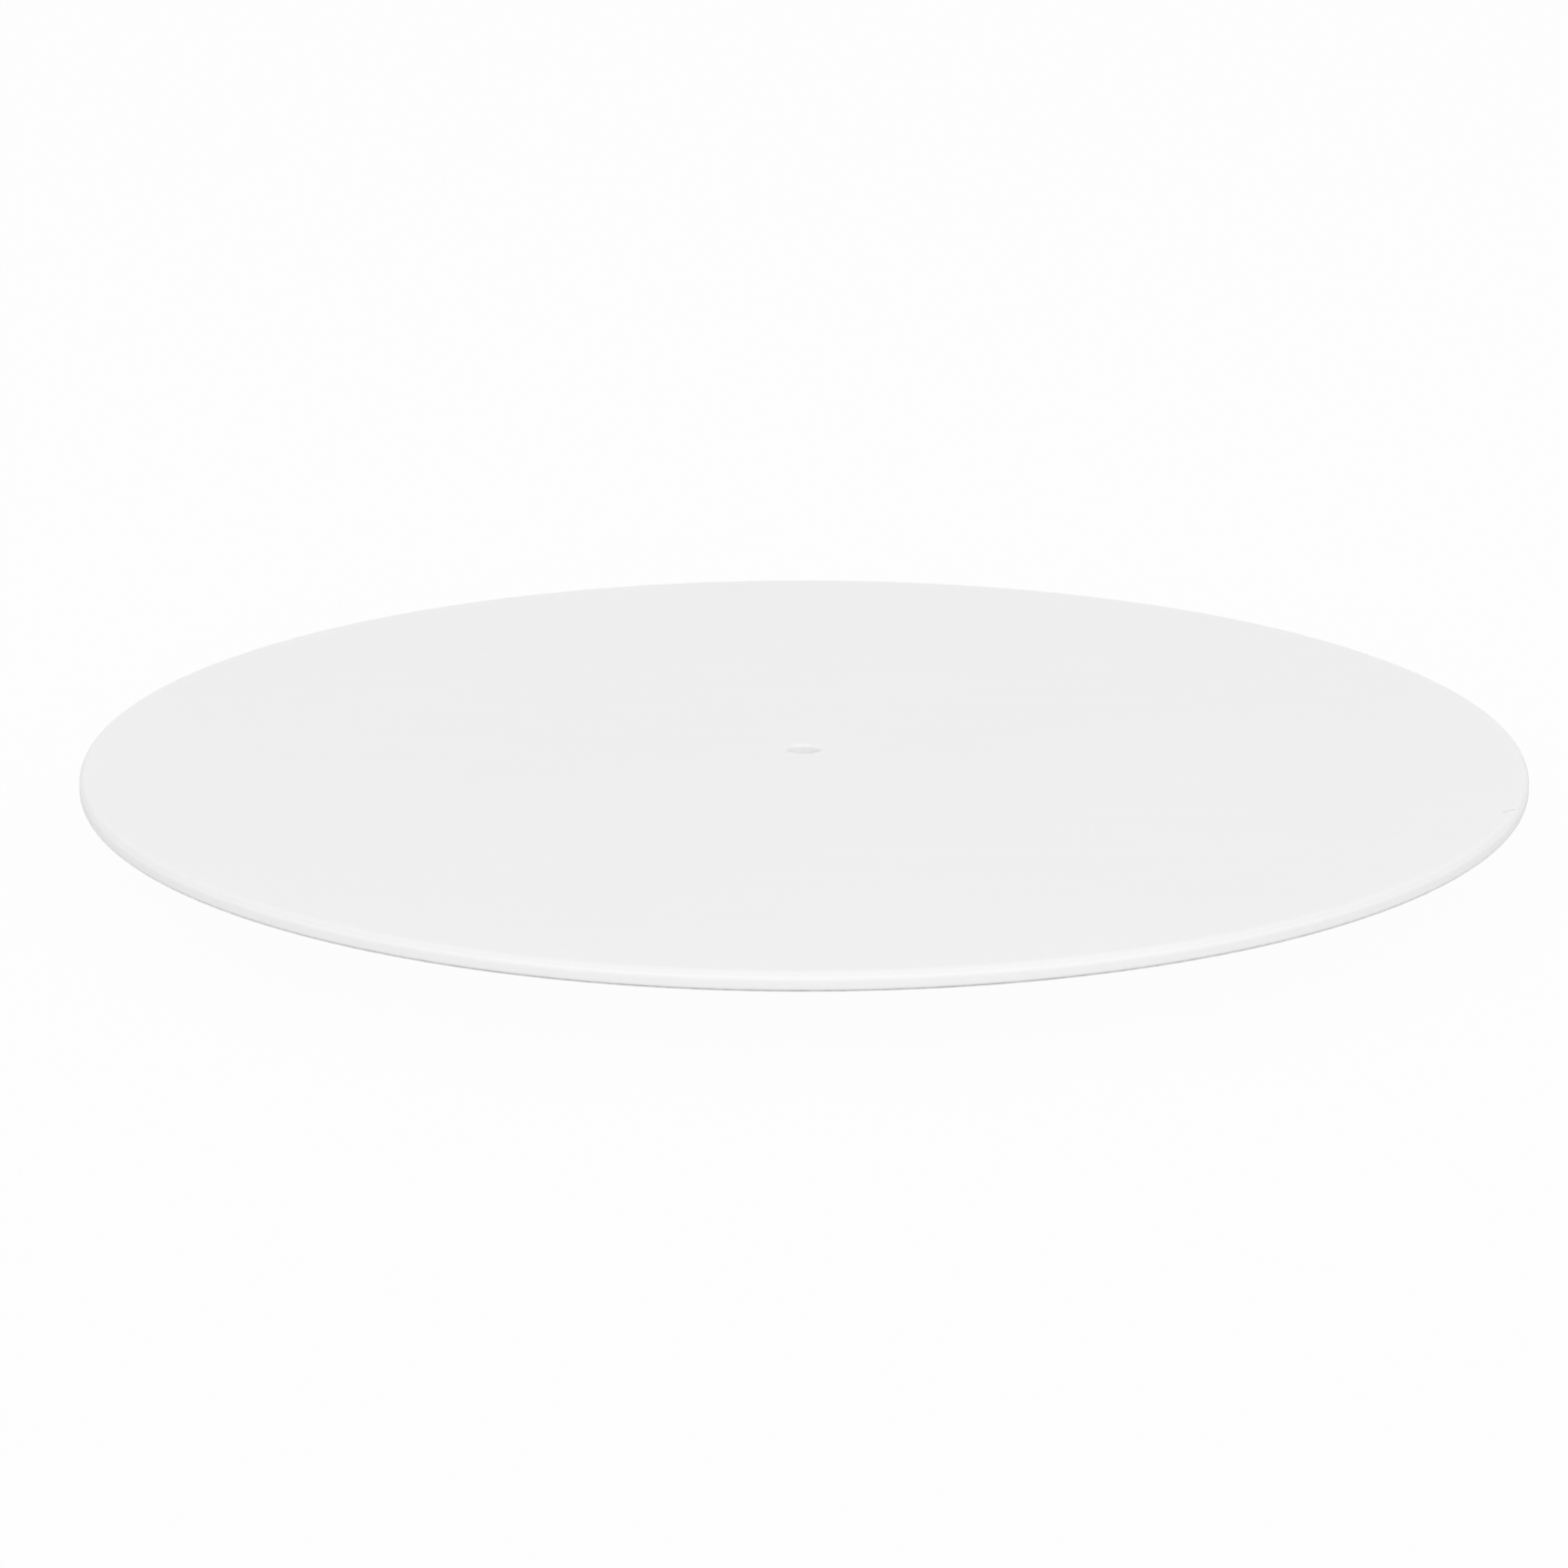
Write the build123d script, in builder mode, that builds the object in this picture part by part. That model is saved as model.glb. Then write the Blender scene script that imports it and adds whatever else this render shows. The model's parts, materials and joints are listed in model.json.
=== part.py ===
"""Lazy susan turntable: a white disc that lies loose on a low ball-bearing stand.

Millimetres, +Z up, with the origin on the table under the middle of the stand. From the bottom up:
six rubber feet, the ribbed base, the lower race, the balls in their cage, the upper race, the carrier
with its six grip pads, and the disc, whose centre hole drops over the spigot of the hub cap. A pivot
screw through the base turns in a bush in the carrier and keeps the stand together when it is lifted.
"""

from build123d import *

import os
from math import cos, radians, sin, sqrt

# ---------------------------------------------------------------- driving dimensions
disc_diameter = 400.0
disc_thickness = 5.0
disc_top_round = 2.2
disc_bottom_round = 1.2
disc_hole_diameter = 9.2
disc_hole_round = 0.8

base_radius = 105.0
base_wall = 2.5
base_plate_thickness = 2.5
base_lip_height = 3.5
rim_round = 1.0
boss_round = 0.4

carrier_radius = 100.0
carrier_wall = 2.2
carrier_plate_thickness = 4.0
skirt_gap = 1.2

ball_diameter = 6.35
ball_count = 24
ball_circle_radius = 80.0
ball_clearance = 0.08
pocket_clearance = 0.1
cage_wall = 1.4
cage_collar_height = 3.2
cage_band_height = 2.2
cage_band_width = 5.0

race_inner_radius = 70.0
race_outer_radius = 92.0
race_sheet = 1.5
race_half_gap = 2.0
race_bend = 0.6

foot_count = 6
foot_diameter = 16.0
foot_drop = 2.0
foot_seat_depth = 1.5
foot_circle_radius = 90.0
foot_boss_radius = 10.0
foot_round = 1.2
foot_hollow_radius = 3.5
foot_hollow_depth = 0.6

pad_count = 6
pad_diameter = 18.0
pad_proud = 1.0
pad_seat_depth = 0.8
pad_round = 0.5
pad_circle_radius = 87.0

screw_count = 6
screw_circle_radius = 88.0
screw_shank_diameter = 2.9
screw_head_diameter = 5.6
screw_head_height = 1.4
screw_head_round = 0.6
cross_length = 3.0
cross_width = 0.8
cross_depth = 0.9
screw_hole_diameter = 3.0
race_hole_diameter = 3.4
screw_boss_radius = 3.5
lower_screw_length = 6.0
upper_screw_length = 4.5
tip_room = 0.2

rib_count = 12
rib_thickness = 2.0
rib_ring_radius = 45.0
rib_root = 1.0
rib_rise = 1.0
carrier_rib_depth = 3.0
fit_gap = 0.1
running_gap = 0.05
same = 0.01

# ---------------------------------------------------------------- heights, from the table up
base_bottom = foot_drop
rib_bottom = base_bottom + rib_rise
base_plate_top = 9.0
base_plate_bottom = base_plate_top - base_plate_thickness
lower_land_top = base_plate_top + race_sheet
ball_height = lower_land_top + race_half_gap
upper_land_bottom = ball_height + race_half_gap
carrier_plate_bottom = upper_land_bottom + race_sheet
carrier_plate_top = carrier_plate_bottom + carrier_plate_thickness
disc_bottom = carrier_plate_top + pad_proud

# ---------------------------------------------------------------- races
ball_radius = ball_diameter / 2
groove_radius = ball_radius + ball_clearance
groove_back_radius = groove_radius + race_sheet
bulge_half_width = sqrt(groove_back_radius**2 - (race_half_gap + race_sheet) ** 2)
channel_side_room = 0.9
channel_end_room = 0.15
channel_half_width = bulge_half_width + channel_side_room
channel_depth = groove_back_radius - race_half_gap - race_sheet + channel_end_room
centring_step = 0.3
centring_height = race_sheet - centring_step

# ---------------------------------------------------------------- hub
hub_radius = 14.0
boss_lift = 0.5
boss_rise = 1.0
boss_top = base_plate_top + boss_rise
thread_diameter = 6.0
thread_clearance = 0.2
shoulder_diameter = 8.0
washer_thickness = 1.0
washer_diameter = 18.0
nut_across_flats = 10.0
nut_height = 5.0
nut_cover = 2.2
nut_pocket_top = boss_top - nut_cover
nut_slope_share = 0.6
pivot_head_radius = 8.0
pivot_head_height = 1.8
pivot_head_round = 0.7
thread_lead_in = 0.6
thread_stand_out = 0.4
socket_across_flats = 4.0
socket_depth = 3.0
bush_outer_radius = 6.0
bush_flange_radius = 8.8
bush_flange_thickness = 1.2
axial_play = 0.2
bush_overhang = 0.2
hub_gap = 0.5
hub_bottom = boss_top + washer_thickness + hub_gap
head_bottom = carrier_plate_top - pivot_head_height - axial_play
bush_flange_top = head_bottom - axial_play
bush_flange_bottom = bush_flange_top - bush_flange_thickness
cap_ring_radius = 11.0
cap_ring_wall = 1.7
cap_flange_radius = 14.0
cap_flange_thickness = 0.9
spigot_clearance = 0.2
spigot_radius = disc_hole_diameter / 2 - spigot_clearance
spigot_reach = 2.0
spigot_top = disc_bottom + spigot_reach
spigot_lead_in = 0.5

os.makedirs("parts", exist_ok=True)


def ring_angles(count, first=0.0):
    """Evenly spaced angles round the axis, in degrees."""
    return [first + 360.0 * i / count for i in range(count)]


def on_circle(radius, angle, height):
    """The point at a radius and an angle round the axis."""
    return (radius * cos(radians(angle)), radius * sin(radians(angle)), height)


between_screws = 180.0 / screw_count


# ---------------------------------------------------------------- disc
def make_disc():
    """The flat round top, with rounded edges and a through hole in the middle."""
    hole_radius = disc_hole_diameter / 2
    half_width = (disc_diameter / 2 - hole_radius) / 2
    with BuildPart() as disc:
        with BuildSketch(Plane.XZ) as section:
            with Locations((hole_radius + half_width, disc_bottom + disc_thickness / 2)):
                Rectangle(2 * half_width, disc_thickness)
            hole_corners = section.vertices().group_by(Axis.X)[0]
            fillet(hole_corners, disc_hole_round)
            rim_corners = section.vertices().group_by(Axis.X)[-1]
            lower_corner, upper_corner = rim_corners.sort_by(Axis.Y)
            fillet(lower_corner, disc_bottom_round)
            fillet(upper_corner, disc_top_round)
        revolve(axis=Axis.Z)
    disc.part.label = "turntable_disc"
    export_step(disc.part, "parts/turntable_disc.step")


# ---------------------------------------------------------------- base
def make_base():
    """The fixed housing: a plate with a skirt and lip, ribbed underneath, with bosses for the feet,
    the race screws and the pivot screw, and a channel that takes the back of the lower race."""
    with BuildPart() as base:
        with BuildSketch(Plane.XY.offset(base_plate_bottom)):
            Circle(base_radius)
        extrude(amount=base_plate_thickness)
        with BuildSketch(Plane.XY.offset(base_bottom)):
            Circle(base_radius)
            Circle(base_radius - base_wall, mode=Mode.SUBTRACT)
        extrude(amount=base_plate_top + base_lip_height - base_bottom)
        with BuildSketch(Plane.XY.offset(base_bottom + boss_lift)):
            Circle(hub_radius)
        extrude(amount=boss_top - base_bottom - boss_lift)
        for radius in (rib_ring_radius, ball_circle_radius):
            with BuildSketch(Plane.XY.offset(rib_bottom)):
                Circle(radius + rib_thickness / 2)
                Circle(radius - rib_thickness / 2, mode=Mode.SUBTRACT)
            extrude(amount=base_plate_bottom - rib_bottom)
        rib_inner = hub_radius - rib_root
        rib_outer = base_radius - base_wall / 2
        with BuildSketch(Plane.XY.offset(rib_bottom)):
            with PolarLocations((rib_inner + rib_outer) / 2, rib_count):
                Rectangle(rib_outer - rib_inner, rib_thickness)
        extrude(amount=base_plate_bottom - rib_bottom)
        with BuildSketch(Plane.XY.offset(base_bottom)):
            with PolarLocations(foot_circle_radius, foot_count, start_angle=between_screws):
                Circle(foot_boss_radius)
        extrude(amount=base_plate_bottom - base_bottom)
        with BuildSketch(Plane.XY.offset(rib_bottom + boss_lift)):
            with PolarLocations(screw_circle_radius, screw_count):
                Circle(screw_boss_radius)
        extrude(amount=base_plate_bottom - rib_bottom - boss_lift)
        # ring that centres the lower race
        with BuildSketch(Plane.XY.offset(base_plate_top)):
            Circle(race_inner_radius - fit_gap)
            Circle(race_inner_radius - fit_gap - rib_thickness, mode=Mode.SUBTRACT)
        extrude(amount=centring_height)
        # channel for the back of the race
        with BuildSketch(Plane.XY.offset(base_plate_top)):
            Circle(ball_circle_radius + channel_half_width)
            Circle(ball_circle_radius - channel_half_width, mode=Mode.SUBTRACT)
        extrude(amount=-channel_depth, mode=Mode.SUBTRACT)
        # seats for the feet
        with BuildSketch(Plane.XY.offset(base_bottom)):
            with PolarLocations(foot_circle_radius, foot_count, start_angle=between_screws):
                Circle(foot_diameter / 2 + fit_gap)
        extrude(amount=foot_seat_depth, mode=Mode.SUBTRACT)
        # pilot holes for the race screws
        with BuildSketch(Plane.XY.offset(base_plate_top)):
            with PolarLocations(screw_circle_radius, screw_count):
                Circle(screw_hole_diameter / 2)
        extrude(amount=-(lower_screw_length - race_sheet + tip_room), mode=Mode.SUBTRACT)
        # hole for the pivot screw, with a hexagonal pocket below it for the nut
        with BuildSketch(Plane.XY.offset(base_bottom)):
            Circle(thread_diameter / 2 + thread_clearance)
        extrude(amount=boss_top - base_bottom, mode=Mode.SUBTRACT)
        with BuildSketch(Plane.XY.offset(base_bottom)):
            RegularPolygon(nut_across_flats / 2 + fit_gap, 6, major_radius=False)
        extrude(amount=nut_pocket_top - base_bottom, mode=Mode.SUBTRACT)
        rim = base.edges().filter_by(GeomType.CIRCLE).group_by(SortBy.RADIUS)[-1]
        fillet(rim, rim_round)
        boss_radii = (foot_boss_radius, hub_radius)
        boss_rims = [
            edge
            for edge in base.edges().filter_by(GeomType.CIRCLE)
            if edge.center().Z < rib_bottom and min(abs(edge.radius - r) for r in boss_radii) < same
        ]
        fillet(boss_rims, boss_round)
    base.part.label = "base_housing"
    export_step(base.part, "parts/base_housing.step")


def make_foot(index, angle):
    """A rubber button with a rounded edge and a shallow hollow in its sole."""
    with BuildPart() as foot:
        with BuildSketch(Plane.XY):
            with Locations(on_circle(foot_circle_radius, angle, 0)[:2]):
                Circle(foot_diameter / 2)
        extrude(amount=foot_drop + foot_seat_depth)
        sole = foot.edges().filter_by(GeomType.CIRCLE).sort_by(Axis.Z)[0]
        fillet(sole, foot_round)
        with BuildSketch(Plane.XY):
            with Locations(on_circle(foot_circle_radius, angle, 0)[:2]):
                Circle(foot_hollow_radius)
        extrude(amount=foot_hollow_depth, mode=Mode.SUBTRACT)
    foot.part.label = f"rubber_foot_{index}"
    export_step(foot.part, f"parts/{foot.part.label}.step")


# ---------------------------------------------------------------- bearing
def make_race(side, name):
    """A pressed steel ring: flat lands each side of a round groove, with holes for its screws.
    side is -1 for the lower race, whose groove opens upward, and +1 for the upper one."""
    face = ball_height + side * race_half_gap
    back = face + side * race_sheet
    groove = sqrt(groove_radius**2 - race_half_gap**2)
    bulge = bulge_half_width
    middle = ball_circle_radius
    with BuildPart() as race:
        with BuildSketch(Plane.XZ):
            with BuildLine():
                Line((race_inner_radius, face), (middle - groove, face))
                ThreePointArc(
                    (middle - groove, face),
                    (middle, ball_height + side * groove_radius),
                    (middle + groove, face),
                )
                Polyline(
                    (middle + groove, face),
                    (race_outer_radius, face),
                    (race_outer_radius, back),
                    (middle + bulge, back),
                )
                ThreePointArc(
                    (middle + bulge, back),
                    (middle, ball_height + side * groove_back_radius),
                    (middle - bulge, back),
                )
                Polyline(
                    (middle - bulge, back),
                    (race_inner_radius, back),
                    (race_inner_radius, face),
                )
            make_face()
        revolve(axis=Axis.Z)
        bends = [
            edge
            for edge in race.edges().filter_by(GeomType.CIRCLE)
            if abs(edge.center().Z - face) < same
            and abs(abs(edge.radius - middle) - groove) < same
        ]
        fillet(bends, race_bend)
        with BuildSketch(Plane.XY.offset(face)):
            with PolarLocations(screw_circle_radius, screw_count):
                Circle(race_hole_diameter / 2)
        extrude(amount=side * race_sheet, mode=Mode.SUBTRACT)
    race.part.label = name
    export_step(race.part, f"parts/{name}.step")


def make_race_screws(side, length, name):
    """Six pan-head screws, one solid each, whose heads bear on the face of a race."""
    face = ball_height + side * race_half_gap
    with BuildPart() as screws:
        with BuildSketch(Plane.XY.offset(face)):
            with PolarLocations(screw_circle_radius, screw_count):
                Circle(screw_head_diameter / 2)
        extrude(amount=-side * screw_head_height)
        crown = face - side * screw_head_height
        heads = [e for e in screws.edges() if abs(e.center().Z - crown) < same]
        fillet(heads, screw_head_round)
        with BuildSketch(Plane.XY.offset(face)):
            with PolarLocations(screw_circle_radius, screw_count):
                Circle(screw_shank_diameter / 2)
        extrude(amount=side * length)
        with BuildSketch(Plane.XY.offset(crown)):
            with PolarLocations(screw_circle_radius, screw_count):
                Rectangle(cross_length, cross_width)
                Rectangle(cross_width, cross_length)
        extrude(amount=side * cross_depth, mode=Mode.SUBTRACT)
    screws.part.label = name
    export_step(screws.part, f"parts/{name}.step")


def make_cage():
    """The ring that keeps the balls apart: a narrow band with a round collar about each pocket."""
    collar_radius = ball_radius + pocket_clearance + cage_wall
    with BuildPart() as cage:
        with BuildSketch(Plane.XY.offset(ball_height - cage_band_height / 2)):
            Circle(ball_circle_radius + cage_band_width / 2)
            Circle(ball_circle_radius - cage_band_width / 2, mode=Mode.SUBTRACT)
        extrude(amount=cage_band_height)
        with BuildSketch(Plane.XY.offset(ball_height - cage_collar_height / 2)):
            with PolarLocations(ball_circle_radius, ball_count):
                Circle(collar_radius)
        extrude(amount=cage_collar_height)
        with BuildSketch(Plane.XY.offset(ball_height - cage_collar_height / 2)):
            with PolarLocations(ball_circle_radius, ball_count):
                Circle(ball_radius + pocket_clearance)
        extrude(amount=cage_collar_height, mode=Mode.SUBTRACT)
    cage.part.label = "ball_cage"
    export_step(cage.part, "parts/ball_cage.step")


def make_ball(index, angle):
    """One steel bearing ball in its pocket."""
    with BuildPart() as ball:
        with Locations(on_circle(ball_circle_radius, angle, ball_height)):
            Sphere(ball_radius)
    ball.part.label = f"ball_{index:02d}"
    export_step(ball.part, f"parts/{ball.part.label}.step")


# ---------------------------------------------------------------- carrier
def make_carrier():
    """The turning plate: a skirt that hides the bearing, ribs below, and seats for pads and bush."""
    skirt_bottom = base_plate_top + skirt_gap
    with BuildPart() as carrier:
        with BuildSketch(Plane.XY.offset(carrier_plate_bottom)):
            Circle(carrier_radius)
        extrude(amount=carrier_plate_thickness)
        with BuildSketch(Plane.XY.offset(skirt_bottom)):
            Circle(carrier_radius)
            Circle(carrier_radius - carrier_wall, mode=Mode.SUBTRACT)
        extrude(amount=carrier_plate_bottom - skirt_bottom)
        with BuildSketch(Plane.XY.offset(hub_bottom)):
            Circle(hub_radius)
        extrude(amount=carrier_plate_bottom - hub_bottom)
        with BuildSketch(Plane.XY.offset(carrier_plate_bottom)):
            Circle(rib_ring_radius + rib_thickness / 2)
            Circle(rib_ring_radius - rib_thickness / 2, mode=Mode.SUBTRACT)
        extrude(amount=-carrier_rib_depth)
        rib_inner = hub_radius - rib_root
        rib_outer = race_inner_radius - fit_gap - rib_thickness / 2
        with BuildSketch(Plane.XY.offset(carrier_plate_bottom)):
            with PolarLocations((rib_inner + rib_outer) / 2, rib_count):
                Rectangle(rib_outer - rib_inner, rib_thickness)
        extrude(amount=-carrier_rib_depth)
        # ring that centres the upper race
        with BuildSketch(Plane.XY.offset(carrier_plate_bottom)):
            Circle(race_inner_radius - fit_gap)
            Circle(race_inner_radius - fit_gap - rib_thickness, mode=Mode.SUBTRACT)
        extrude(amount=-centring_height)
        # channel for the back of the race
        with BuildSketch(Plane.XY.offset(carrier_plate_bottom)):
            Circle(ball_circle_radius + channel_half_width)
            Circle(ball_circle_radius - channel_half_width, mode=Mode.SUBTRACT)
        extrude(amount=channel_depth, mode=Mode.SUBTRACT)
        # pilot holes for the race screws
        with BuildSketch(Plane.XY.offset(carrier_plate_bottom)):
            with PolarLocations(screw_circle_radius, screw_count):
                Circle(screw_hole_diameter / 2)
        extrude(amount=upper_screw_length - race_sheet + tip_room, mode=Mode.SUBTRACT)
        # seats for the grip pads
        with BuildSketch(Plane.XY.offset(carrier_plate_top)):
            with PolarLocations(pad_circle_radius, pad_count, start_angle=between_screws):
                Circle(pad_diameter / 2 + fit_gap)
        extrude(amount=-pad_seat_depth, mode=Mode.SUBTRACT)
        # stepped bore: the bush, then its flange, then the ring of the hub cap
        with BuildSketch(Plane.XY.offset(hub_bottom)):
            Circle(bush_outer_radius)
        extrude(amount=carrier_plate_top - hub_bottom, mode=Mode.SUBTRACT)
        with BuildSketch(Plane.XY.offset(bush_flange_bottom)):
            Circle(bush_flange_radius + fit_gap)
        extrude(amount=carrier_plate_top - bush_flange_bottom, mode=Mode.SUBTRACT)
        with BuildSketch(Plane.XY.offset(head_bottom)):
            Circle(cap_ring_radius)
        extrude(amount=carrier_plate_top - head_bottom, mode=Mode.SUBTRACT)
        upper_rim = carrier.edges().filter_by(GeomType.CIRCLE).group_by(SortBy.RADIUS)[-1]
        fillet(upper_rim.sort_by(Axis.Z)[-1], rim_round)
        lower_rim = carrier.edges().filter_by(GeomType.CIRCLE).group_by(SortBy.RADIUS)[-1]
        fillet(lower_rim.sort_by(Axis.Z)[0], boss_round)
    carrier.part.label = "carrier_plate"
    export_step(carrier.part, "parts/carrier_plate.step")


def make_pad(index, angle):
    """A soft disc that stands just proud of the carrier and keeps the top from slipping."""
    with BuildPart() as pad:
        with BuildSketch(Plane.XY.offset(carrier_plate_top - pad_seat_depth)):
            with Locations(on_circle(pad_circle_radius, angle, 0)[:2]):
                Circle(pad_diameter / 2)
        extrude(amount=pad_seat_depth + pad_proud)
        top_edge = pad.edges().filter_by(GeomType.CIRCLE).sort_by(Axis.Z)[-1]
        fillet(top_edge, pad_round)
    pad.part.label = f"grip_pad_{index}"
    export_step(pad.part, f"parts/{pad.part.label}.step")


# ---------------------------------------------------------------- pivot
def make_bush():
    """A flanged plastic bush, held in the carrier, that turns on the shoulder of the pivot screw."""
    with BuildPart() as bush:
        with BuildSketch(Plane.XY.offset(hub_bottom - bush_overhang)):
            Circle(bush_outer_radius)
        extrude(amount=bush_flange_bottom - hub_bottom + bush_overhang)
        with BuildSketch(Plane.XY.offset(bush_flange_bottom)):
            Circle(bush_flange_radius)
        extrude(amount=bush_flange_thickness)
        with BuildSketch(Plane.XY.offset(hub_bottom - bush_overhang)):
            Circle(shoulder_diameter / 2 + running_gap)
        extrude(amount=bush_flange_top - hub_bottom + bush_overhang, mode=Mode.SUBTRACT)
    bush.part.label = "hub_bush"
    export_step(bush.part, "parts/hub_bush.step")


def make_washer():
    """The steel washer that the shoulder of the pivot screw clamps to the base."""
    with BuildPart() as washer:
        with BuildSketch(Plane.XY.offset(boss_top)):
            Circle(washer_diameter / 2)
            Circle(thread_diameter / 2 + thread_clearance, mode=Mode.SUBTRACT)
        extrude(amount=washer_thickness)
    washer.part.label = "pivot_washer"
    export_step(washer.part, "parts/pivot_washer.step")


def make_pivot_screw():
    """A low-headed shoulder screw, put in from the top, that the carrier turns about."""
    shoulder_bottom = boss_top + washer_thickness
    thread_bottom = nut_pocket_top - nut_height - thread_stand_out
    with BuildPart() as screw:
        with BuildSketch(Plane.XY.offset(head_bottom)):
            Circle(pivot_head_radius)
        extrude(amount=pivot_head_height)
        crown = screw.edges().filter_by(GeomType.CIRCLE).sort_by(Axis.Z)[-1]
        fillet(crown, pivot_head_round)
        with BuildSketch(Plane.XY.offset(shoulder_bottom)):
            Circle(shoulder_diameter / 2)
        extrude(amount=head_bottom - shoulder_bottom)
        with BuildSketch(Plane.XY.offset(thread_bottom)):
            Circle(thread_diameter / 2)
        extrude(amount=shoulder_bottom - thread_bottom)
        tip = screw.edges().filter_by(GeomType.CIRCLE).sort_by(Axis.Z)[0]
        chamfer(tip, thread_lead_in)
        with BuildSketch(Plane.XY.offset(head_bottom + pivot_head_height)):
            RegularPolygon(socket_across_flats / 2, 6, major_radius=False)
        extrude(amount=-socket_depth, mode=Mode.SUBTRACT)
    screw.part.label = "pivot_screw"
    export_step(screw.part, "parts/pivot_screw.step")


def make_nut():
    """The hexagon nut that holds the pivot screw from below, its corners turned off at both ends."""
    bottom = nut_pocket_top - nut_height
    flat = nut_across_flats / 2
    corner = flat / cos(radians(30))
    slope = (corner - flat) * nut_slope_share
    with BuildPart() as nut:
        with BuildSketch(Plane.XY.offset(bottom)):
            RegularPolygon(flat, 6, major_radius=False)
            Circle(thread_diameter / 2 + running_gap, mode=Mode.SUBTRACT)
        extrude(amount=nut_height)
        with BuildSketch(Plane.XZ):
            with BuildLine():
                Polyline(
                    (0, bottom),
                    (flat, bottom),
                    (corner, bottom + slope),
                    (corner, nut_pocket_top - slope),
                    (flat, nut_pocket_top),
                    (0, nut_pocket_top),
                    close=True,
                )
            make_face()
        revolve(axis=Axis.Z, mode=Mode.INTERSECT)
    nut.part.label = "pivot_nut"
    export_step(nut.part, "parts/pivot_nut.step")


def make_hub_cap():
    """The press-in cap over the pivot screw, with the spigot that centres the disc."""
    flange_top = carrier_plate_top + cap_flange_thickness
    ring_bottom = head_bottom + running_gap
    with BuildPart() as cap:
        with BuildSketch(Plane.XY.offset(carrier_plate_top)):
            Circle(cap_flange_radius)
        extrude(amount=cap_flange_thickness)
        with BuildSketch(Plane.XY.offset(ring_bottom)):
            Circle(cap_ring_radius - running_gap)
            Circle(cap_ring_radius - running_gap - cap_ring_wall, mode=Mode.SUBTRACT)
        extrude(amount=carrier_plate_top - ring_bottom)
        with BuildSketch(Plane.XY.offset(flange_top)):
            Circle(spigot_radius)
        extrude(amount=spigot_top - flange_top)
        lead_in = cap.edges().filter_by(GeomType.CIRCLE).sort_by(Axis.Z)[-1]
        chamfer(lead_in, spigot_lead_in)
    cap.part.label = "hub_cap"
    export_step(cap.part, "parts/hub_cap.step")


make_disc()
make_base()
for number, angle in enumerate(ring_angles(foot_count, between_screws), start=1):
    make_foot(number, angle)
make_race(-1, "lower_race")
make_race(1, "upper_race")
make_race_screws(-1, lower_screw_length, "lower_race_screws")
make_race_screws(1, upper_screw_length, "upper_race_screws")
make_cage()
for number, angle in enumerate(ring_angles(ball_count), start=1):
    make_ball(number, angle)
make_carrier()
for number, angle in enumerate(ring_angles(pad_count, between_screws), start=1):
    make_pad(number, angle)
make_bush()
make_washer()
make_pivot_screw()
make_nut()
make_hub_cap()
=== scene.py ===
"""Looks of a lazy susan turntable: a satin white disc on a low ball-bearing stand.

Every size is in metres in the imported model's own frame: +Z up, the origin on the table under the axis.
"""

import json
from math import cos, degrees, pi, radians, sin, sqrt

import bmesh
import bpy
import numpy as np
from mathutils import Matrix, Vector

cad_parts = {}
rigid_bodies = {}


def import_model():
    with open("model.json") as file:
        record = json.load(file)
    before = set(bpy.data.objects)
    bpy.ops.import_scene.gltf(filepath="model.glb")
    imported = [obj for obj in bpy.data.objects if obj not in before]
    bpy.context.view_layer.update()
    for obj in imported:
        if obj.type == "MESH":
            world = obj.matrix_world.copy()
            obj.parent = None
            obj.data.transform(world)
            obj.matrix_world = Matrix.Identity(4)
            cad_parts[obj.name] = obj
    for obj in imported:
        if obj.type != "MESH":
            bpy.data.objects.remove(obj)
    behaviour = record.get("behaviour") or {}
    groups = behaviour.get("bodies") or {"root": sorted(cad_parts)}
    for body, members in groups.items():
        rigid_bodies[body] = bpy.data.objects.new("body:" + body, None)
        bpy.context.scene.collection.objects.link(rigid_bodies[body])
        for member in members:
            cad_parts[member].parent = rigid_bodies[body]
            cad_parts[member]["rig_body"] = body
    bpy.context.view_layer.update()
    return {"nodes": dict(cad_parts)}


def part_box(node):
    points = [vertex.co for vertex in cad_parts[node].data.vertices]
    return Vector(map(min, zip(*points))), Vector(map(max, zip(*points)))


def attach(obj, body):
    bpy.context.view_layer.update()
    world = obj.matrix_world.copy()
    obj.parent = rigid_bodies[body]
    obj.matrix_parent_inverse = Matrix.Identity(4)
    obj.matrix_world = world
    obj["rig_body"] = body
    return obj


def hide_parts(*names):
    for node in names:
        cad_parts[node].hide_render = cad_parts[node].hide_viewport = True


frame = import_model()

bl_info = {
    "name": "Lazy Susan Turntable",
    "version": (1, 0, 0),
    "blender": (4, 5, 0),
    "location": "View3D > Sidebar > Turntable",
    "description": "Builds the visible pieces of a lazy susan turntable round its packed frame",
    "category": "Object",
}

MM = 0.001
FULL_TURN = 2 * pi
COLOUR_A, COLOUR_B, MIXED_COLOUR = 6, 7, 2
DISC_LOW, DISC_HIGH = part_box("turntable_disc")
DISC_RADIUS = min(DISC_HIGH.x, DISC_HIGH.y, -DISC_LOW.x, -DISC_LOW.y)
DISC_TOP = DISC_HIGH.z
CUT_REACH = 1 * MM


def body_of(node):
    """The name of the body that a node belongs to."""
    return frame["nodes"][node]["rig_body"]


def middle_of(node):
    """The centre of a node's box seen from above, its widest radius, and its lowest and highest levels."""
    low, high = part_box(node)
    return ((low.x + high.x) / 2, (low.y + high.y) / 2), (high.x - low.x) / 2, low.z, high.z


def nodes_named(start):
    """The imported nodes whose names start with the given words, in order."""
    return sorted(name for name in frame["nodes"] if name.startswith(start))


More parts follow.
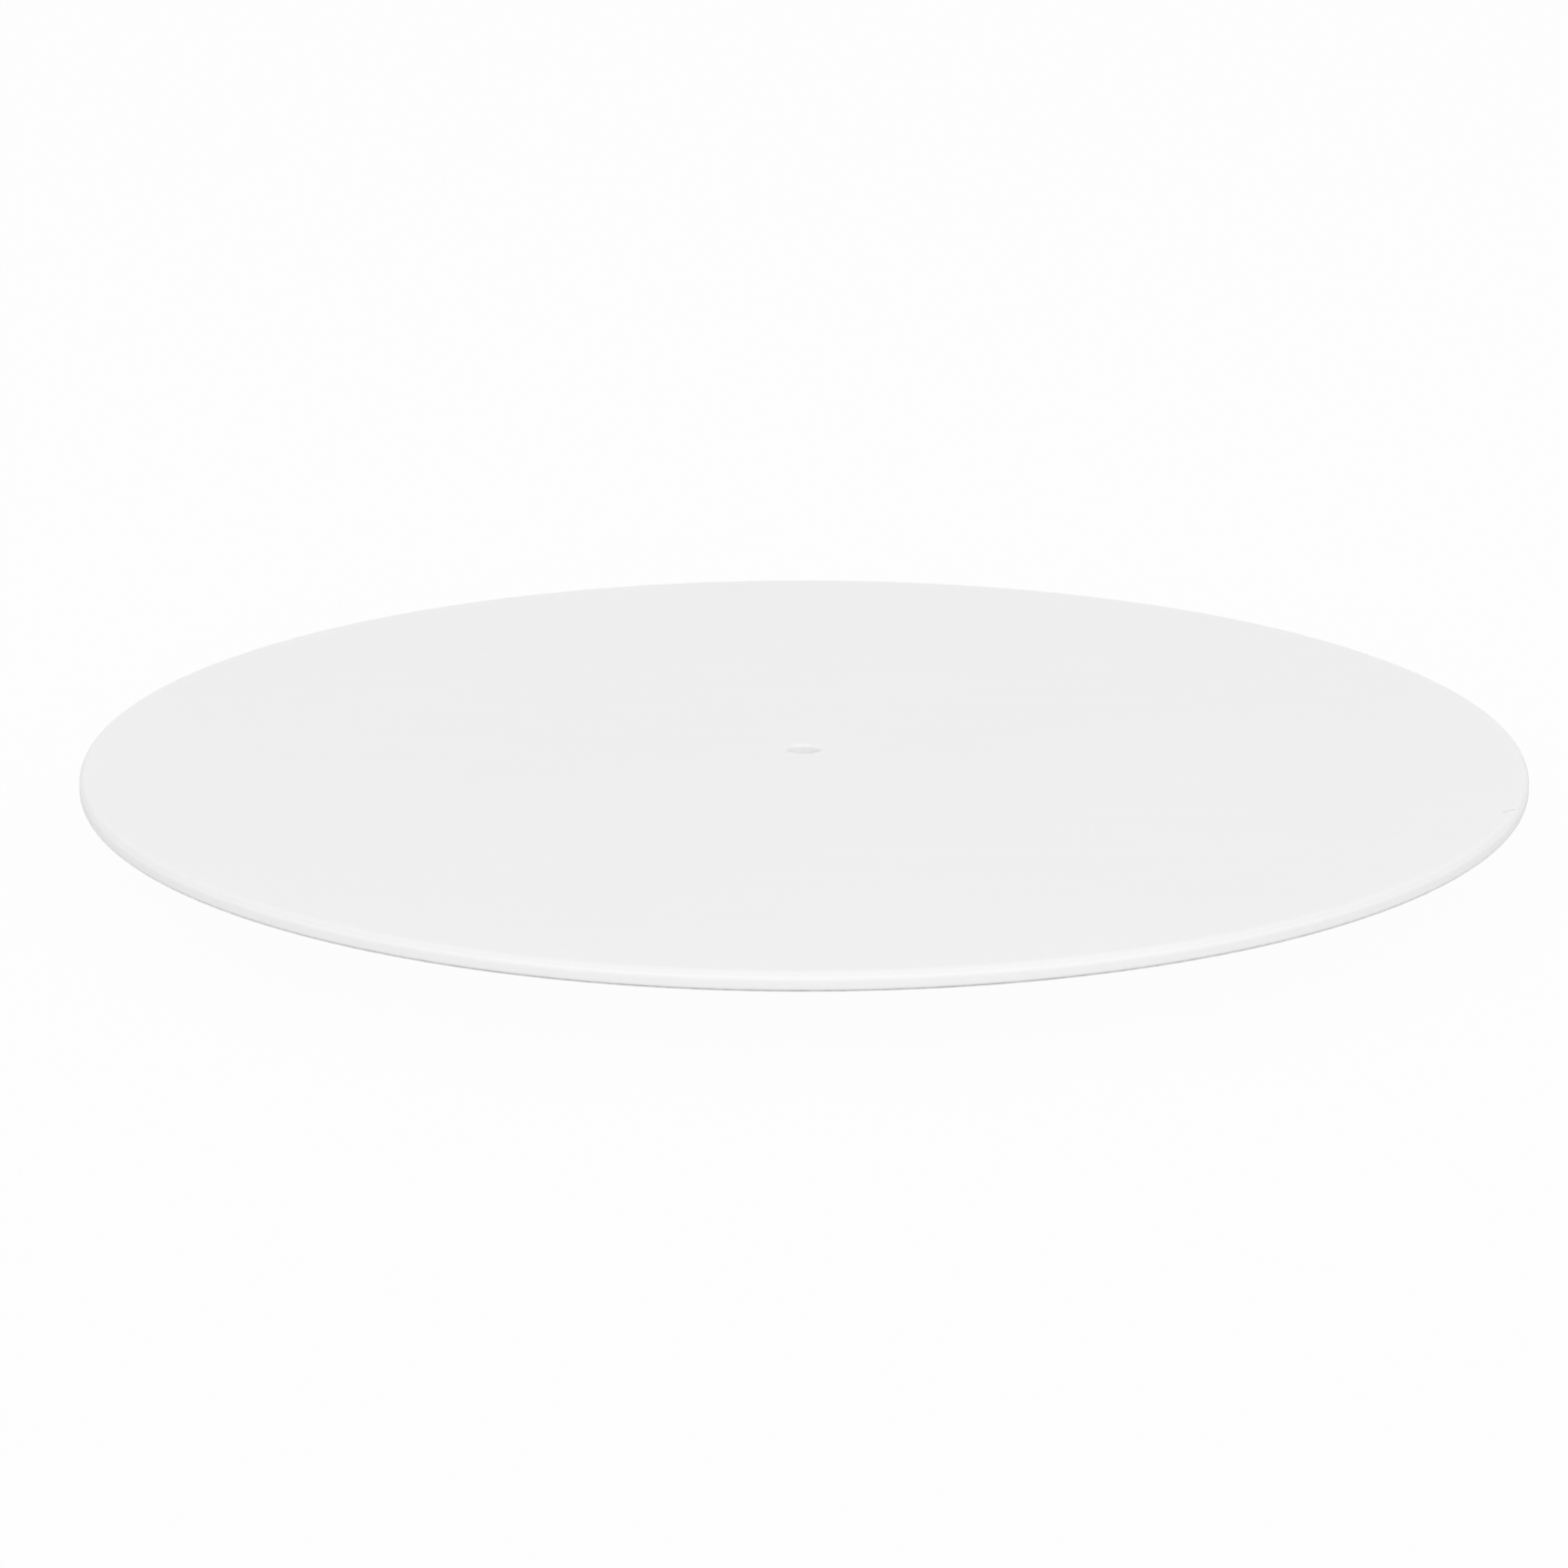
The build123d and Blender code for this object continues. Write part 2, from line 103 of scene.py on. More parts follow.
# ---------------------------------------------------------------- surfaces
def grid_faces(rows, columns, wrap_rows=False, wrap_columns=True):
    """The four corners of each cell of a grid of points that is numbered row by row. A wrapped
    direction joins its last point to its first."""
    row = np.arange(rows if wrap_rows else rows - 1)
    column = np.arange(columns if wrap_columns else columns - 1)
    row, column = np.meshgrid(row, column, indexing="ij")
    next_row = (row + 1) % rows
    next_column = (column + 1) % columns
    corners = [
        row * columns + column,
        row * columns + next_column,
        next_row * columns + next_column,
        next_row * columns + column,
    ]
    return np.stack(corners, axis=-1).reshape(-1, 4)


def rounded_section(corners, closed=True, steps=6, guard=0.12):
    """A section of straight lines with rounded corners, as an array of (radius, height) rows.
    corners holds (radius, height, rounding) rows. An arc touches both sides of a corner at rounding times
    the tangent of half the turn from it, and is walked in equal steps. A guard point a little way along
    each side keeps the shading of flat stretches flat."""
    points = np.array([corner[:2] for corner in corners], float)
    rounding = np.array([corner[2] for corner in corners], float)
    side = np.roll(points, -1, axis=0) - points
    length = np.linalg.norm(side, axis=1)
    ahead = side / length[:, None]
    behind = -np.roll(ahead, 1, axis=0)
    half_turn = (pi - np.arccos(np.clip((ahead * behind).sum(axis=1), -1, 1))) / 2
    if not closed:
        rounding[[0, -1]] = 0
    reach = rounding * np.tan(half_turn)
    free = length - reach - np.roll(reach, -1)
    share = np.linspace(0, 1, steps + 1)[:, None]
    rows = []
    for i, here in enumerate(points):
        if rounding[i] <= 0:
            rows.append(here[None])
            continue
        middle = ahead[i] + behind[i]
        centre = here + middle / np.linalg.norm(middle) * rounding[i] / cos(half_turn[i])
        start = here + behind[i] * reach[i] - centre
        finish = here + ahead[i] * reach[i] - centre
        turn = 2 * half_turn[i]
        arc = centre + (np.sin((1 - share) * turn) * start + np.sin(share * turn) * finish) / sin(turn)
        lead = reach[i] + min(guard * rounding[i], free[i - 1] / 3)
        tail = reach[i] + min(guard * rounding[i], free[i] / 3)
        rows.append(np.vstack([here + behind[i] * lead, arc, here + ahead[i] * tail]))
    return np.vstack(rows)


def wound(radius, height, angle, centre=(0.0, 0.0), closed=True):
    """Points and faces of rows of points carried round the vertical line through centre: x and y are the
    centre plus radius times the angle's cosine and sine. The rows' radius and height may change with the
    angle."""
    radius, height, angle = np.broadcast_arrays(radius, height, angle)
    x = centre[0] + radius * np.cos(angle)
    y = centre[1] + radius * np.sin(angle)
    points = np.stack([x, y, height], axis=-1).reshape(-1, 3)
    return points, grid_faces(*radius.shape, wrap_rows=closed)


def even_angles(count):
    """Angles in even steps round a full turn."""
    return np.linspace(0, FULL_TURN, count, endpoint=False)


def turned(section, centre=(0.0, 0.0), columns=96, closed=True):
    """Points and faces of a turned shape: each (radius, height) row of the section is a full circle."""
    return wound(section[:, :1], section[:, 1:], even_angles(columns), centre, closed)


def piled(angle, *layers):
    """The radii and heights of a shape made of layers of loops, one after another. A layer is a pair of
    radius and height, each a number, a column of numbers, a row over the angles or a whole grid."""
    grids = [np.broadcast_arrays(radius, height, angle[None])[:2] for radius, height in layers]
    return np.vstack([grid[0] for grid in grids]), np.vstack([grid[1] for grid in grids])


def as_layer(section):
    """The rows of a section as a layer of loops."""
    return section[:, :1], section[:, 1:]


def thread_reach(angle, level, core, crest, pitch):
    """Radius of a right-hand screw thread. The tooth is a triangle wave of the level over the pitch less
    the angle in turns, cut off flat at its root and its crest."""
    wave = 1 - np.abs(2 * ((level / pitch - angle / FULL_TURN) % 1) - 1)
    return core + (crest - core) * np.clip(1.3 * wave - 0.15, 0, 1)


def hexagon_reach(angle, flat):
    """Distance from the middle of a hexagon to its outline: half its width across flats over the cosine of
    the angle from the middle of the nearest flat."""
    return flat / np.cos(angle % (pi / 3) - pi / 6)


def cross_reach(angle, half_length, half_width):
    """Distance from the middle of a cross to its outline: to the end of an arm, or to its side where the
    ray meets that first."""
    off = np.abs((angle + pi / 4) % (pi / 2) - pi / 4)
    return np.minimum(half_length / np.cos(off), half_width / np.maximum(np.sin(off), 1e-9))


def ball_shape(centre, radius, steps):
    """Points and faces of a sphere made of the six sides of a cube. A side's grid is divided in equal
    angles, and each point is the centre plus the radius along (tangent, tangent, 1)."""
    swing = np.tan(np.linspace(-pi / 4, pi / 4, steps + 1))
    across, along = np.meshgrid(swing, swing, indexing="ij")
    side = np.stack([across, along, np.ones_like(across)], axis=-1).reshape(-1, 3)
    side *= radius / np.linalg.norm(side, axis=1)[:, None]
    faces = grid_faces(steps + 1, steps + 1, wrap_columns=False)
    sides = [(centre + sign * np.roll(side, axis, axis=1), faces) for axis in range(3) for sign in (1, -1)]
    return joined(sides)


def arc_points(centre, radius, start, finish, steps):
    """Points along an arc, in equal steps from one angle in degrees to another."""
    angle = np.radians(np.linspace(start, finish, steps + 1))
    return np.stack([centre[0] + radius * np.cos(angle), centre[1] + radius * np.sin(angle)], axis=1)


def joined(parts):
    """Several (points, faces) pairs as one pair, with each part's faces renumbered past the one before."""
    points, faces, offset = [], [], 0
    for part_points, part_faces in parts:
        points.append(part_points)
        faces.append(part_faces + offset)
        offset += len(part_points)
    return np.vstack(points), np.vstack(faces)


def new_piece(name, points, faces, smooth_angle=40.0, solid=True):
    """Puts points and faces into a new mesh object at the origin. Points that lie on each other are
    merged, which closes poles and seams, and all faces of a solid are turned outwards."""
    mesh = bpy.data.meshes.new(name)
    mesh.from_pydata(points.tolist(), [], faces.tolist())
    work = bmesh.new()
    work.from_mesh(mesh)
    bmesh.ops.remove_doubles(work, verts=work.verts, dist=1e-7)
    bmesh.ops.dissolve_degenerate(work, edges=work.edges, dist=1e-8)
    if solid:
        bmesh.ops.recalc_face_normals(work, faces=work.faces)
    return finished(name, mesh, work, smooth_angle)


def eased_copy(node, name, edge_width, shortest):
    """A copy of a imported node's mesh with its loose triangles joined, its flat faces made whole, and its
    square edges eased by a small round of the given width. A square edge that meets one shorter than
    shortest is left as it is."""
    mesh = frame["nodes"][node].data.copy()
    mesh.name = name
    mesh.materials.clear()
    work = bmesh.new()
    work.from_mesh(mesh)
    bmesh.ops.remove_doubles(work, verts=work.verts, dist=1e-6)
    bmesh.ops.dissolve_limit(
        work, angle_limit=radians(0.5), verts=work.verts, edges=work.edges, use_dissolve_boundaries=False
    )
    roomy = {
        corner for corner in work.verts if min(edge.calc_length() for edge in corner.link_edges) > shortest
    }
    square = [
        edge for edge in work.edges if edge.calc_face_angle(0) > radians(80) and roomy.issuperset(edge.verts)
    ]
    bmesh.ops.bevel(work, geom=square, offset=edge_width, segments=2, profile=0.5, affect="EDGES")
    return evenly_shaded(finished(name, mesh, work, 50))


def evenly_shaded(piece):
    """Keeps the shading of a piece's flat faces flat right up to their rounded edges."""
    even = piece.modifiers.new("even_shading", "WEIGHTED_NORMAL")
    even.keep_sharp = True
    return piece


def combine(piece, tool, operation, smooth_angle=40.0):
    """Adds another piece's shape to a piece or takes it away, and removes the other piece."""
    change = piece.modifiers.new("change", "BOOLEAN")
    change.operation, change.solver, change.object = operation, "EXACT", tool
    graph = bpy.context.evaluated_depsgraph_get()
    mesh = bpy.data.meshes.new_from_object(piece.evaluated_get(graph))
    piece.modifiers.clear()
    piece.data = mesh
    bpy.data.objects.remove(tool)
    mesh.shade_smooth()
    mesh.set_sharp_from_angle(angle=radians(smooth_angle))


def finished(name, mesh, work, smooth_angle):
    """Puts the worked surface into the mesh, shades all but its sharp edges smooth, and links it."""
    work.to_mesh(mesh)
    work.free()
    mesh.shade_smooth()
    mesh.set_sharp_from_angle(angle=radians(smooth_angle))
    piece = bpy.data.objects.new(name, mesh)
    bpy.context.scene.collection.objects.link(piece)
    return piece


def place(piece, material, slot, *nodes):
    """Gives a piece its material, and puts it on its nodes' body in their place. The slot is not used."""
    piece.data.materials.append(material)
    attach(piece, body_of(nodes[0]))
    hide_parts(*nodes)


# ---------------------------------------------------------------- material nodes
def new_material(name, sockets):
    """A new material, its node tree and its one shader, whose sockets take the given values."""
    material = bpy.data.materials.new(name)
    material.use_nodes = True
    shader = material.node_tree.nodes["Principled BSDF"]
    for socket, value in sockets.items():
        shader.inputs[socket].default_value = value
    return material, material.node_tree, shader


def add_node(tree, kind, inputs, **settings):
    """Adds a node, makes its settings, and links or sets each input, which is named or numbered."""
    node = tree.nodes.new("ShaderNode" + kind)
    for setting, value in settings.items():
        setattr(node, setting, value)
    for socket, value in inputs.items():
        if isinstance(value, bpy.types.NodeSocket):
            tree.links.new(value, node.inputs[socket])
        else:
            node.inputs[socket].default_value = value
    return node


def shade(colour, share):
    """A colour made darker or lighter by a share."""
    return tuple(share * part for part in colour)


def surface_point(tree):
    """The place of each point of the surface, in metres in the frame."""
    return add_node(tree, "TexCoord", {}).outputs["Object"]


def clouds(tree, point, patch, detail=2.0, stretch=(1.0, 1.0, 1.0)):
    """Soft random patches from 0 to 1, about as wide as patch, drawn out along an axis by its stretch."""
    scale = tuple(1 / (patch * share) for share in stretch)
    moved = add_node(tree, "Mapping", {"Vector": point, "Scale": scale})
    return add_node(tree, "TexNoise", {"Vector": moved.outputs[0], "Scale": 1.0, "Detail": detail}).outputs[0]


def spread(tree, factor, low, high, first=0.3, last=0.7):
    """Maps the stretch of factor between first and last onto the stretch from low to high."""
    inputs = {"Value": factor, "From Min": first, "From Max": last, "To Min": low, "To Max": high}
    return add_node(tree, "MapRange", inputs).outputs[0]


def tinted(tree, factor, first, second):
    """A colour that goes from first to second as factor goes from 0 to 1. Each is a colour or a socket."""
    colours = {}
    for socket, colour in ((COLOUR_A, first), (COLOUR_B, second)):
        colours[socket] = colour if isinstance(colour, bpy.types.NodeSocket) else (*colour, 1)
    return add_node(tree, "Mix", {0: factor, **colours}, data_type="RGBA").outputs[MIXED_COLOUR]


def calculated(tree, operation, first, second=0.0):
    """One sum on two numbers or sockets."""
    return add_node(tree, "Math", {0: first, 1: second}, operation=operation).outputs[0]


def relief(tree, shader, height, depth):
    """Raises the surface by depth metres where height goes from 0 to 1."""
    bump = add_node(tree, "Bump", {"Height": height, "Distance": depth})
    tree.links.new(bump.outputs[0], shader.inputs["Normal"])


def axis_distance(tree, point, centre=(0.0, 0.0)):
    """Distance of each point of the surface from the vertical line through centre."""
    moved = add_node(tree, "VectorMath", {0: point, 1: (*centre, 0)}, operation="SUBTRACT").outputs[0]
    level = add_node(tree, "VectorMath", {0: moved, 1: (1, 1, 0)}, operation="MULTIPLY").outputs[0]
    return add_node(tree, "VectorMath", {0: level}, operation="LENGTH").outputs["Value"]


def rings(tree, distance, pitch):
    """Fine rings round an axis: a sine of the distance from it, from 0 to 1."""
    wave = calculated(tree, "SINE", calculated(tree, "MULTIPLY", distance, FULL_TURN / pitch))
    return spread(tree, wave, 0.0, 1.0, -1.0, 1.0)


def moulded_plastic(name, colour, roughness, grain_depth, sockets=None):
    """Moulded plastic: a colour that drifts a little, a fine spark-worn grain and faint flow marks."""
    material, tree, shader = new_material(name, {"IOR": 1.5, **(sockets or {})})
    point = surface_point(tree)
    drift = clouds(tree, point, 40 * MM, detail=3.0)
    deeper = shade(colour, 0.94)
    tree.links.new(tinted(tree, drift, deeper, colour), shader.inputs["Base Color"])
    flow = clouds(tree, point, 9 * MM, detail=3.0, stretch=(1.0, 1.0, 0.4))
    tree.links.new(spread(tree, flow, roughness - 0.05, roughness + 0.06), shader.inputs["Roughness"])
    relief(tree, shader, clouds(tree, point, 0.35 * MM, detail=1.0), grain_depth)
    return material


def bright_metal(name, colour, roughness):
    """Plated or polished metal: slightly clouded colour, and fine scratches in its shine."""
    material, tree, shader = new_material(name, {"Metallic": 1.0})
    point = surface_point(tree)
    clouded = clouds(tree, point, 6 * MM, detail=3.0)
    duller = shade(colour, 0.86)
    tree.links.new(tinted(tree, clouded, duller, colour), shader.inputs["Base Color"])
    scratches = clouds(tree, point, 0.5 * MM, detail=4.0)
    tree.links.new(spread(tree, scratches, 0.8 * roughness, 1.4 * roughness), shader.inputs["Roughness"])
    relief(tree, shader, scratches, 0.004 * MM)
    return material, tree, shader


# ---------------------------------------------------------------- disc
class DiscSettings(bpy.types.PropertyGroup):
    """Sizes and finish of the disc."""

    top_round: bpy.props.FloatProperty(
        name="Top rounding", description="Radius of the upper edge", default=2.2 * MM, unit="LENGTH")
    bottom_round: bpy.props.FloatProperty(
        name="Bottom rounding", description="Radius of the lower edge", default=1.2 * MM, unit="LENGTH")
    hole_radius: bpy.props.FloatProperty(
        name="Hole radius", description="Radius of the centre hole", default=4.6 * MM, unit="LENGTH")
    hole_round: bpy.props.FloatProperty(
        name="Hole edge", description="Radius of the hole's edges", default=0.8 * MM, unit="LENGTH")
    colour: bpy.props.FloatVectorProperty(
        name="Disc colour", description="Opal white of the sheet", default=(0.80, 0.80, 0.80),
        subtype="COLOR", size=3)
    gloss: bpy.props.FloatProperty(
        name="Roughness", description="Roughness of the satin surface", default=0.5, subtype="FACTOR")
    glow: bpy.props.FloatProperty(
        name="Glow", description="How much light spreads inside the opal sheet", default=0.15,
        subtype="FACTOR")
    # Painted light: the cut edges of the rim and the hole are painted lighter than the faces.
    painted_light_tint: bpy.props.FloatProperty(
        name="Wall tint", description="How much lighter the cut edges are than the faces", default=1.06)
    # Painted shade: the dark line round the lower corner of the rim stands in for the shade under it.
    painted_shade_tint: bpy.props.FloatProperty(
        name="Lower line tint", description="How dark the dust line round the lower edge is", default=0.6,
        subtype="FACTOR")
    scuff_start: bpy.props.FloatVectorProperty(
        name="Scuff start", description="Share of the radius and angle where the hairline scuff starts",
        default=(0.982, radians(-18.8)), size=2)
    scuff_end: bpy.props.FloatVectorProperty(
        name="Scuff end", description="Share of the radius and angle where the hairline scuff ends",
        default=(0.9945, radians(-17.5)), size=2)
    scuff_drop: bpy.props.FloatProperty(
        name="Scuff drop", description="How far the scuff's end lies down the rounded edge",
        default=0.3 * MM, unit="LENGTH")


def disc_point(share, angle, drop):
    """A point on the disc's top at a share of its radius and an angle, drop metres below the top."""
    return Vector((share * DISC_RADIUS * cos(angle), share * DISC_RADIUS * sin(angle), DISC_TOP - drop))


def line_distance(tree, point, start, end):
    """Distance of each point of the surface from a straight line between two points: from the point to
    the nearest place on the line, which is its start plus the clamped share along it."""
    along = end - start
    away = add_node(tree, "VectorMath", {0: point, 1: start}, operation="SUBTRACT").outputs[0]
    run = {0: away, 1: along / along.length_squared}
    share = add_node(tree, "VectorMath", run, operation="DOT_PRODUCT").outputs["Value"]
    share = add_node(tree, "Clamp", {"Value": share}).outputs[0]
    nearest = add_node(tree, "VectorMath", {0: along, "Scale": share}, operation="SCALE").outputs[0]
    rest = add_node(tree, "VectorMath", {0: away, 1: nearest}, operation="SUBTRACT").outputs[0]
    return add_node(tree, "VectorMath", {0: rest}, operation="LENGTH").outputs["Value"]


def speckled(tree, point, colour):
    """The sheet's colour, which drifts a little, with a few darker specks of dust in random cells."""
    drift = clouds(tree, point, 70 * MM, detail=2.0)
    paint = tinted(tree, drift, shade(colour, 0.985), colour)
    cells = {"Vector": point, "Scale": 1 / (14 * MM), "Randomness": 1.0}
    specks = add_node(tree, "TexVoronoi", cells)
    size = spread(tree, clouds(tree, point, 30 * MM), 0.0, 0.016, 0.45, 0.75)
    speck = calculated(tree, "LESS_THAN", specks.outputs["Distance"], size)
    return tinted(tree, speck, paint, shade(colour, 0.80))


def painted_edge_light_and_shade(tree, point, paint, settings):
    """Painted light on the cut edges of the rim and the hole, whose paint is made lighter, and a thin, broken
    line of painted shade round the lower corner of the rim."""
    colour, mouth = tuple(settings.colour), settings.hole_radius
    reach = axis_distance(tree, point)
    # Painted light: the outer wall of the rim and the wall of the hole are painted lighter.
    outer = spread(tree, reach, 0.0, 1.0, DISC_RADIUS - 0.4 * MM, DISC_RADIUS - 0.15 * MM)
    inner = spread(tree, reach, 1.0, 0.0, mouth + 0.05 * MM, mouth + 0.35 * MM)
    cut = calculated(tree, "MAXIMUM", outer, inner)
    paint = tinted(tree, cut, paint, shade(colour, settings.painted_light_tint))
    height = add_node(tree, "SeparateXYZ", {0: point}).outputs["Z"]
    # Painted shade: a dark, broken line round the lower corner of the rim.
    lower = spread(tree, height, 1.0, 0.0, DISC_LOW.z + 0.4 * MM, DISC_LOW.z + 0.75 * MM)
    rim = calculated(tree, "GREATER_THAN", reach, DISC_RADIUS - 1.0 * MM)
    broken = spread(tree, clouds(tree, point, 3 * MM, detail=3.0), 0.45, 1.0, 0.4, 0.6)
    line = calculated(tree, "MULTIPLY", calculated(tree, "MULTIPLY", lower, rim), broken)
    return tinted(tree, line, paint, shade(colour, settings.painted_shade_tint))


def make_disc_material(settings):
    """Satin opal sheet: faint wipe marks in its shine, dust specks, painted light on its cut edges and
    painted shade round its lower corner, and near the rim one hairline scuff, dark, with a painted highlight
    along its border."""
    sockets = {
        "IOR": 1.49,
        "Subsurface Weight": settings.glow,
        "Subsurface Radius": (1.0, 1.0, 1.0),
        "Subsurface Scale": 4 * MM,
    }
    material, tree, shader = new_material("satin_acrylic", sockets)
    point = surface_point(tree)
    colour = tuple(settings.colour)
    paint = painted_edge_light_and_shade(tree, point, speckled(tree, point, colour), settings)
    start = disc_point(*settings.scuff_start, 0.0)
    end = disc_point(*settings.scuff_end, settings.scuff_drop)
    away = line_distance(tree, point, start, end)
    dark = spread(tree, away, 1.0, 0.0, 0.15 * MM, 0.45 * MM)
    # Painted highlight: a lighter border either side of the scuff.
    painted_highlight_mask = spread(tree, away, 1.0, 0.0, 0.5 * MM, 1.1 * MM)
    paint = tinted(tree, painted_highlight_mask, paint, shade(colour, 1.06))
    paint = tinted(tree, dark, paint, shade(colour, 0.72))
    tree.links.new(paint, shader.inputs["Base Color"])
    wipes = clouds(tree, point, 12 * MM, detail=4.0, stretch=(6.0, 0.8, 1.0))
    shine = spread(tree, wipes, settings.gloss - 0.03, settings.gloss + 0.04)
    tree.links.new(shine, shader.inputs["Roughness"])
    satin = clouds(tree, point, 0.4 * MM, detail=2.0)
    relief(tree, shader, calculated(tree, "SUBTRACT", satin, dark), 0.0012 * MM)
    return material


class TURNTABLE_OT_make_disc(bpy.types.Operator):
    """Makes the round white disc with its rounded edge and centre hole"""

    bl_idname = "turntable.make_disc"
    bl_label = "Disc"

    def execute(self, context):
        settings = context.scene.turntable_disc
        section = rounded_section(
            [
                (settings.hole_radius, DISC_LOW.z, settings.hole_round),
                (DISC_RADIUS, DISC_LOW.z, settings.bottom_round),
                (DISC_RADIUS, DISC_TOP, settings.top_round),
                (settings.hole_radius, DISC_TOP, settings.hole_round),
            ],
            steps=10,
        )
        disc = new_piece("white_disc", *turned(section, columns=512))
        place(disc, make_disc_material(settings), "white_acrylic", "turntable_disc")
        return {"FINISHED"}


# ---------------------------------------------------------------- mouldings
class MouldingSettings(bpy.types.PropertyGroup):
    """Sizes that the base and the carrier share, and the finish of their white plastic."""

    skirt_wall: bpy.props.FloatProperty(
        name="Skirt wall", description="Thickness of the base's skirt", default=2.5 * MM, unit="LENGTH")
    carrier_wall: bpy.props.FloatProperty(
        name="Carrier wall", description="Thickness of the carrier's skirt", default=2.2 * MM, unit="LENGTH")
    base_plate: bpy.props.FloatProperty(
        name="Base plate", description="Thickness of the base's plate", default=2.5 * MM, unit="LENGTH")
    carrier_plate: bpy.props.FloatProperty(
        name="Carrier plate", description="Thickness of the carrier's plate", default=4.0 * MM,
        unit="LENGTH")
    rim_round: bpy.props.FloatProperty(
        name="Rim rounding", description="Radius of the outer rims", default=1.0 * MM, unit="LENGTH")
    edge_round: bpy.props.FloatProperty(
        name="Edge rounding", description="Radius of the other edges", default=0.25 * MM, unit="LENGTH")
    hub_radius: bpy.props.FloatProperty(
        name="Hub radius", description="Radius of the hub bosses", default=14 * MM, unit="LENGTH")
    hub_lift: bpy.props.FloatProperty(
        name="Hub lift", description="Height of the hub boss above the skirt's edge", default=0.5 * MM,
        unit="LENGTH")
    rib_count: bpy.props.IntProperty(name="Ribs", description="Number of ribs from hub to rim", default=12)
    rib_root: bpy.props.FloatProperty(
        name="Rib root", description="Thickness of a rib at the plate", default=2.2 * MM, unit="LENGTH")
    rib_crest: bpy.props.FloatProperty(
        name="Rib crest", description="Thickness of a rib at its free edge", default=1.7 * MM, unit="LENGTH")
    rib_sink: bpy.props.FloatProperty(
        name="Rib sink", description="How far a rib runs into the hub", default=1.0 * MM, unit="LENGTH")
    rib_rise: bpy.props.FloatProperty(
        name="Rib rise", description="How far the base's ribs stop above the skirt's edge", default=1.0 * MM,
        unit="LENGTH")
    carrier_rib: bpy.props.FloatProperty(
        name="Carrier rib", description="Depth of the carrier's ribs", default=3.0 * MM, unit="LENGTH")
    rib_rings: bpy.props.FloatVectorProperty(
        name="Rib rings", description="Radii of the two round ribs", default=(45 * MM, 80 * MM),
        unit="LENGTH", size=2)
    centring_wall: bpy.props.FloatProperty(
        name="Centring wall", description="Thickness of the ring inside a race", default=2.0 * MM,
        unit="LENGTH")
    centring_height: bpy.props.FloatProperty(
        name="Centring height", description="Height of the ring inside a race", default=1.2 * MM,
        unit="LENGTH")
    channel_width: bpy.props.FloatProperty(
        name="Channel width", description="Half the width of the channel behind a race's groove",
        default=4.1 * MM, unit="LENGTH")
    channel_depth: bpy.props.FloatProperty(
        name="Channel depth", description="Depth of the channel behind a race's groove",
        default=1.4 * MM, unit="LENGTH")
    foot_boss: bpy.props.FloatProperty(
        name="Foot boss", description="Radius of the boss round a foot", default=10 * MM, unit="LENGTH")
    screw_boss: bpy.props.FloatProperty(
        name="Screw boss", description="Radius of the boss round a race screw", default=3.5 * MM,
        unit="LENGTH")
    pilot_radius: bpy.props.FloatProperty(
        name="Pilot hole", description="Radius of the holes for the race screws", default=1.5 * MM,
        unit="LENGTH")
    tip_room: bpy.props.FloatProperty(
        name="Tip room", description="Room past the tip of a race screw", default=0.2 * MM, unit="LENGTH")
    fit: bpy.props.FloatProperty(
        name="Fit", description="Room round a part in its seat", default=0.1 * MM, unit="LENGTH")
    bolt_hole: bpy.props.FloatProperty(
        name="Bolt hole", description="Radius of the base's hole for the pivot screw", default=3.2 * MM,
        unit="LENGTH")
    bush_hole: bpy.props.FloatProperty(
        name="Bush hole", description="Radius of the carrier's hole for the bush", default=6.0 * MM,
        unit="LENGTH")
    cap_hole: bpy.props.FloatProperty(
        name="Cap hole", description="Radius of the carrier's hole for the hub cap", default=11.0 * MM,
        unit="LENGTH")
    colour: bpy.props.FloatVectorProperty(
        name="Moulding colour", description="Off-white of the moulded plastic", default=(0.78, 0.775, 0.76),
        subtype="COLOR", size=3)
    gloss: bpy.props.FloatProperty(
        name="Roughness", description="Roughness of the moulded surface", default=0.42, subtype="FACTOR")
    grain_depth: bpy.props.FloatProperty(
        name="Grain depth", description="Depth of the mould's fine grain", default=0.012 * MM, unit="LENGTH")


def bar(section, start, finish, angle):
    """Points and faces of a straight bar with closed ends: each (across, height) row of the section is
    carried along a line from the radius start to the radius finish, at an angle round the axis."""
    along = np.array([start, start, finish, finish])[:, None]
    middle = np.broadcast_to(section.mean(axis=0), section.shape)
    loops = np.stack([middle, section, section, middle])
    across, height = loops[..., 0], loops[..., 1]
    x = along * cos(angle) - across * sin(angle)
    y = along * sin(angle) + across * cos(angle)
    points = np.stack([x, y, height], axis=-1).reshape(-1, 3)
    return points, grid_faces(*across.shape)


def post(centre, radius, low, high, low_round=0.0, columns=72):
    """Points and faces of a round post with closed ends."""
    corners = [(0, low, 0), (radius, low, low_round), (radius, high, 0), (0, high, 0)]
    return turned(rounded_section(corners, closed=False), centre, columns, closed=False)


def ribs(settings, root_level, crest_level, start, finish):
    """Straight ribs between two radii, thinner at their free edges and sunk into the plate."""
    sink = settings.edge_round if crest_level < root_level else -settings.edge_round
    section = rounded_section(
        [
            (-settings.rib_root / 2, root_level + sink, 0),
            (-settings.rib_crest / 2, crest_level, settings.edge_round),
            (settings.rib_crest / 2, crest_level, settings.edge_round),
            (settings.rib_root / 2, root_level + sink, 0),
        ]
    )
    turns = [FULL_TURN * i / settings.rib_count for i in range(settings.rib_count)]
    return new_piece("ribs", *joined([bar(section, start, finish, turn) for turn in turns]))


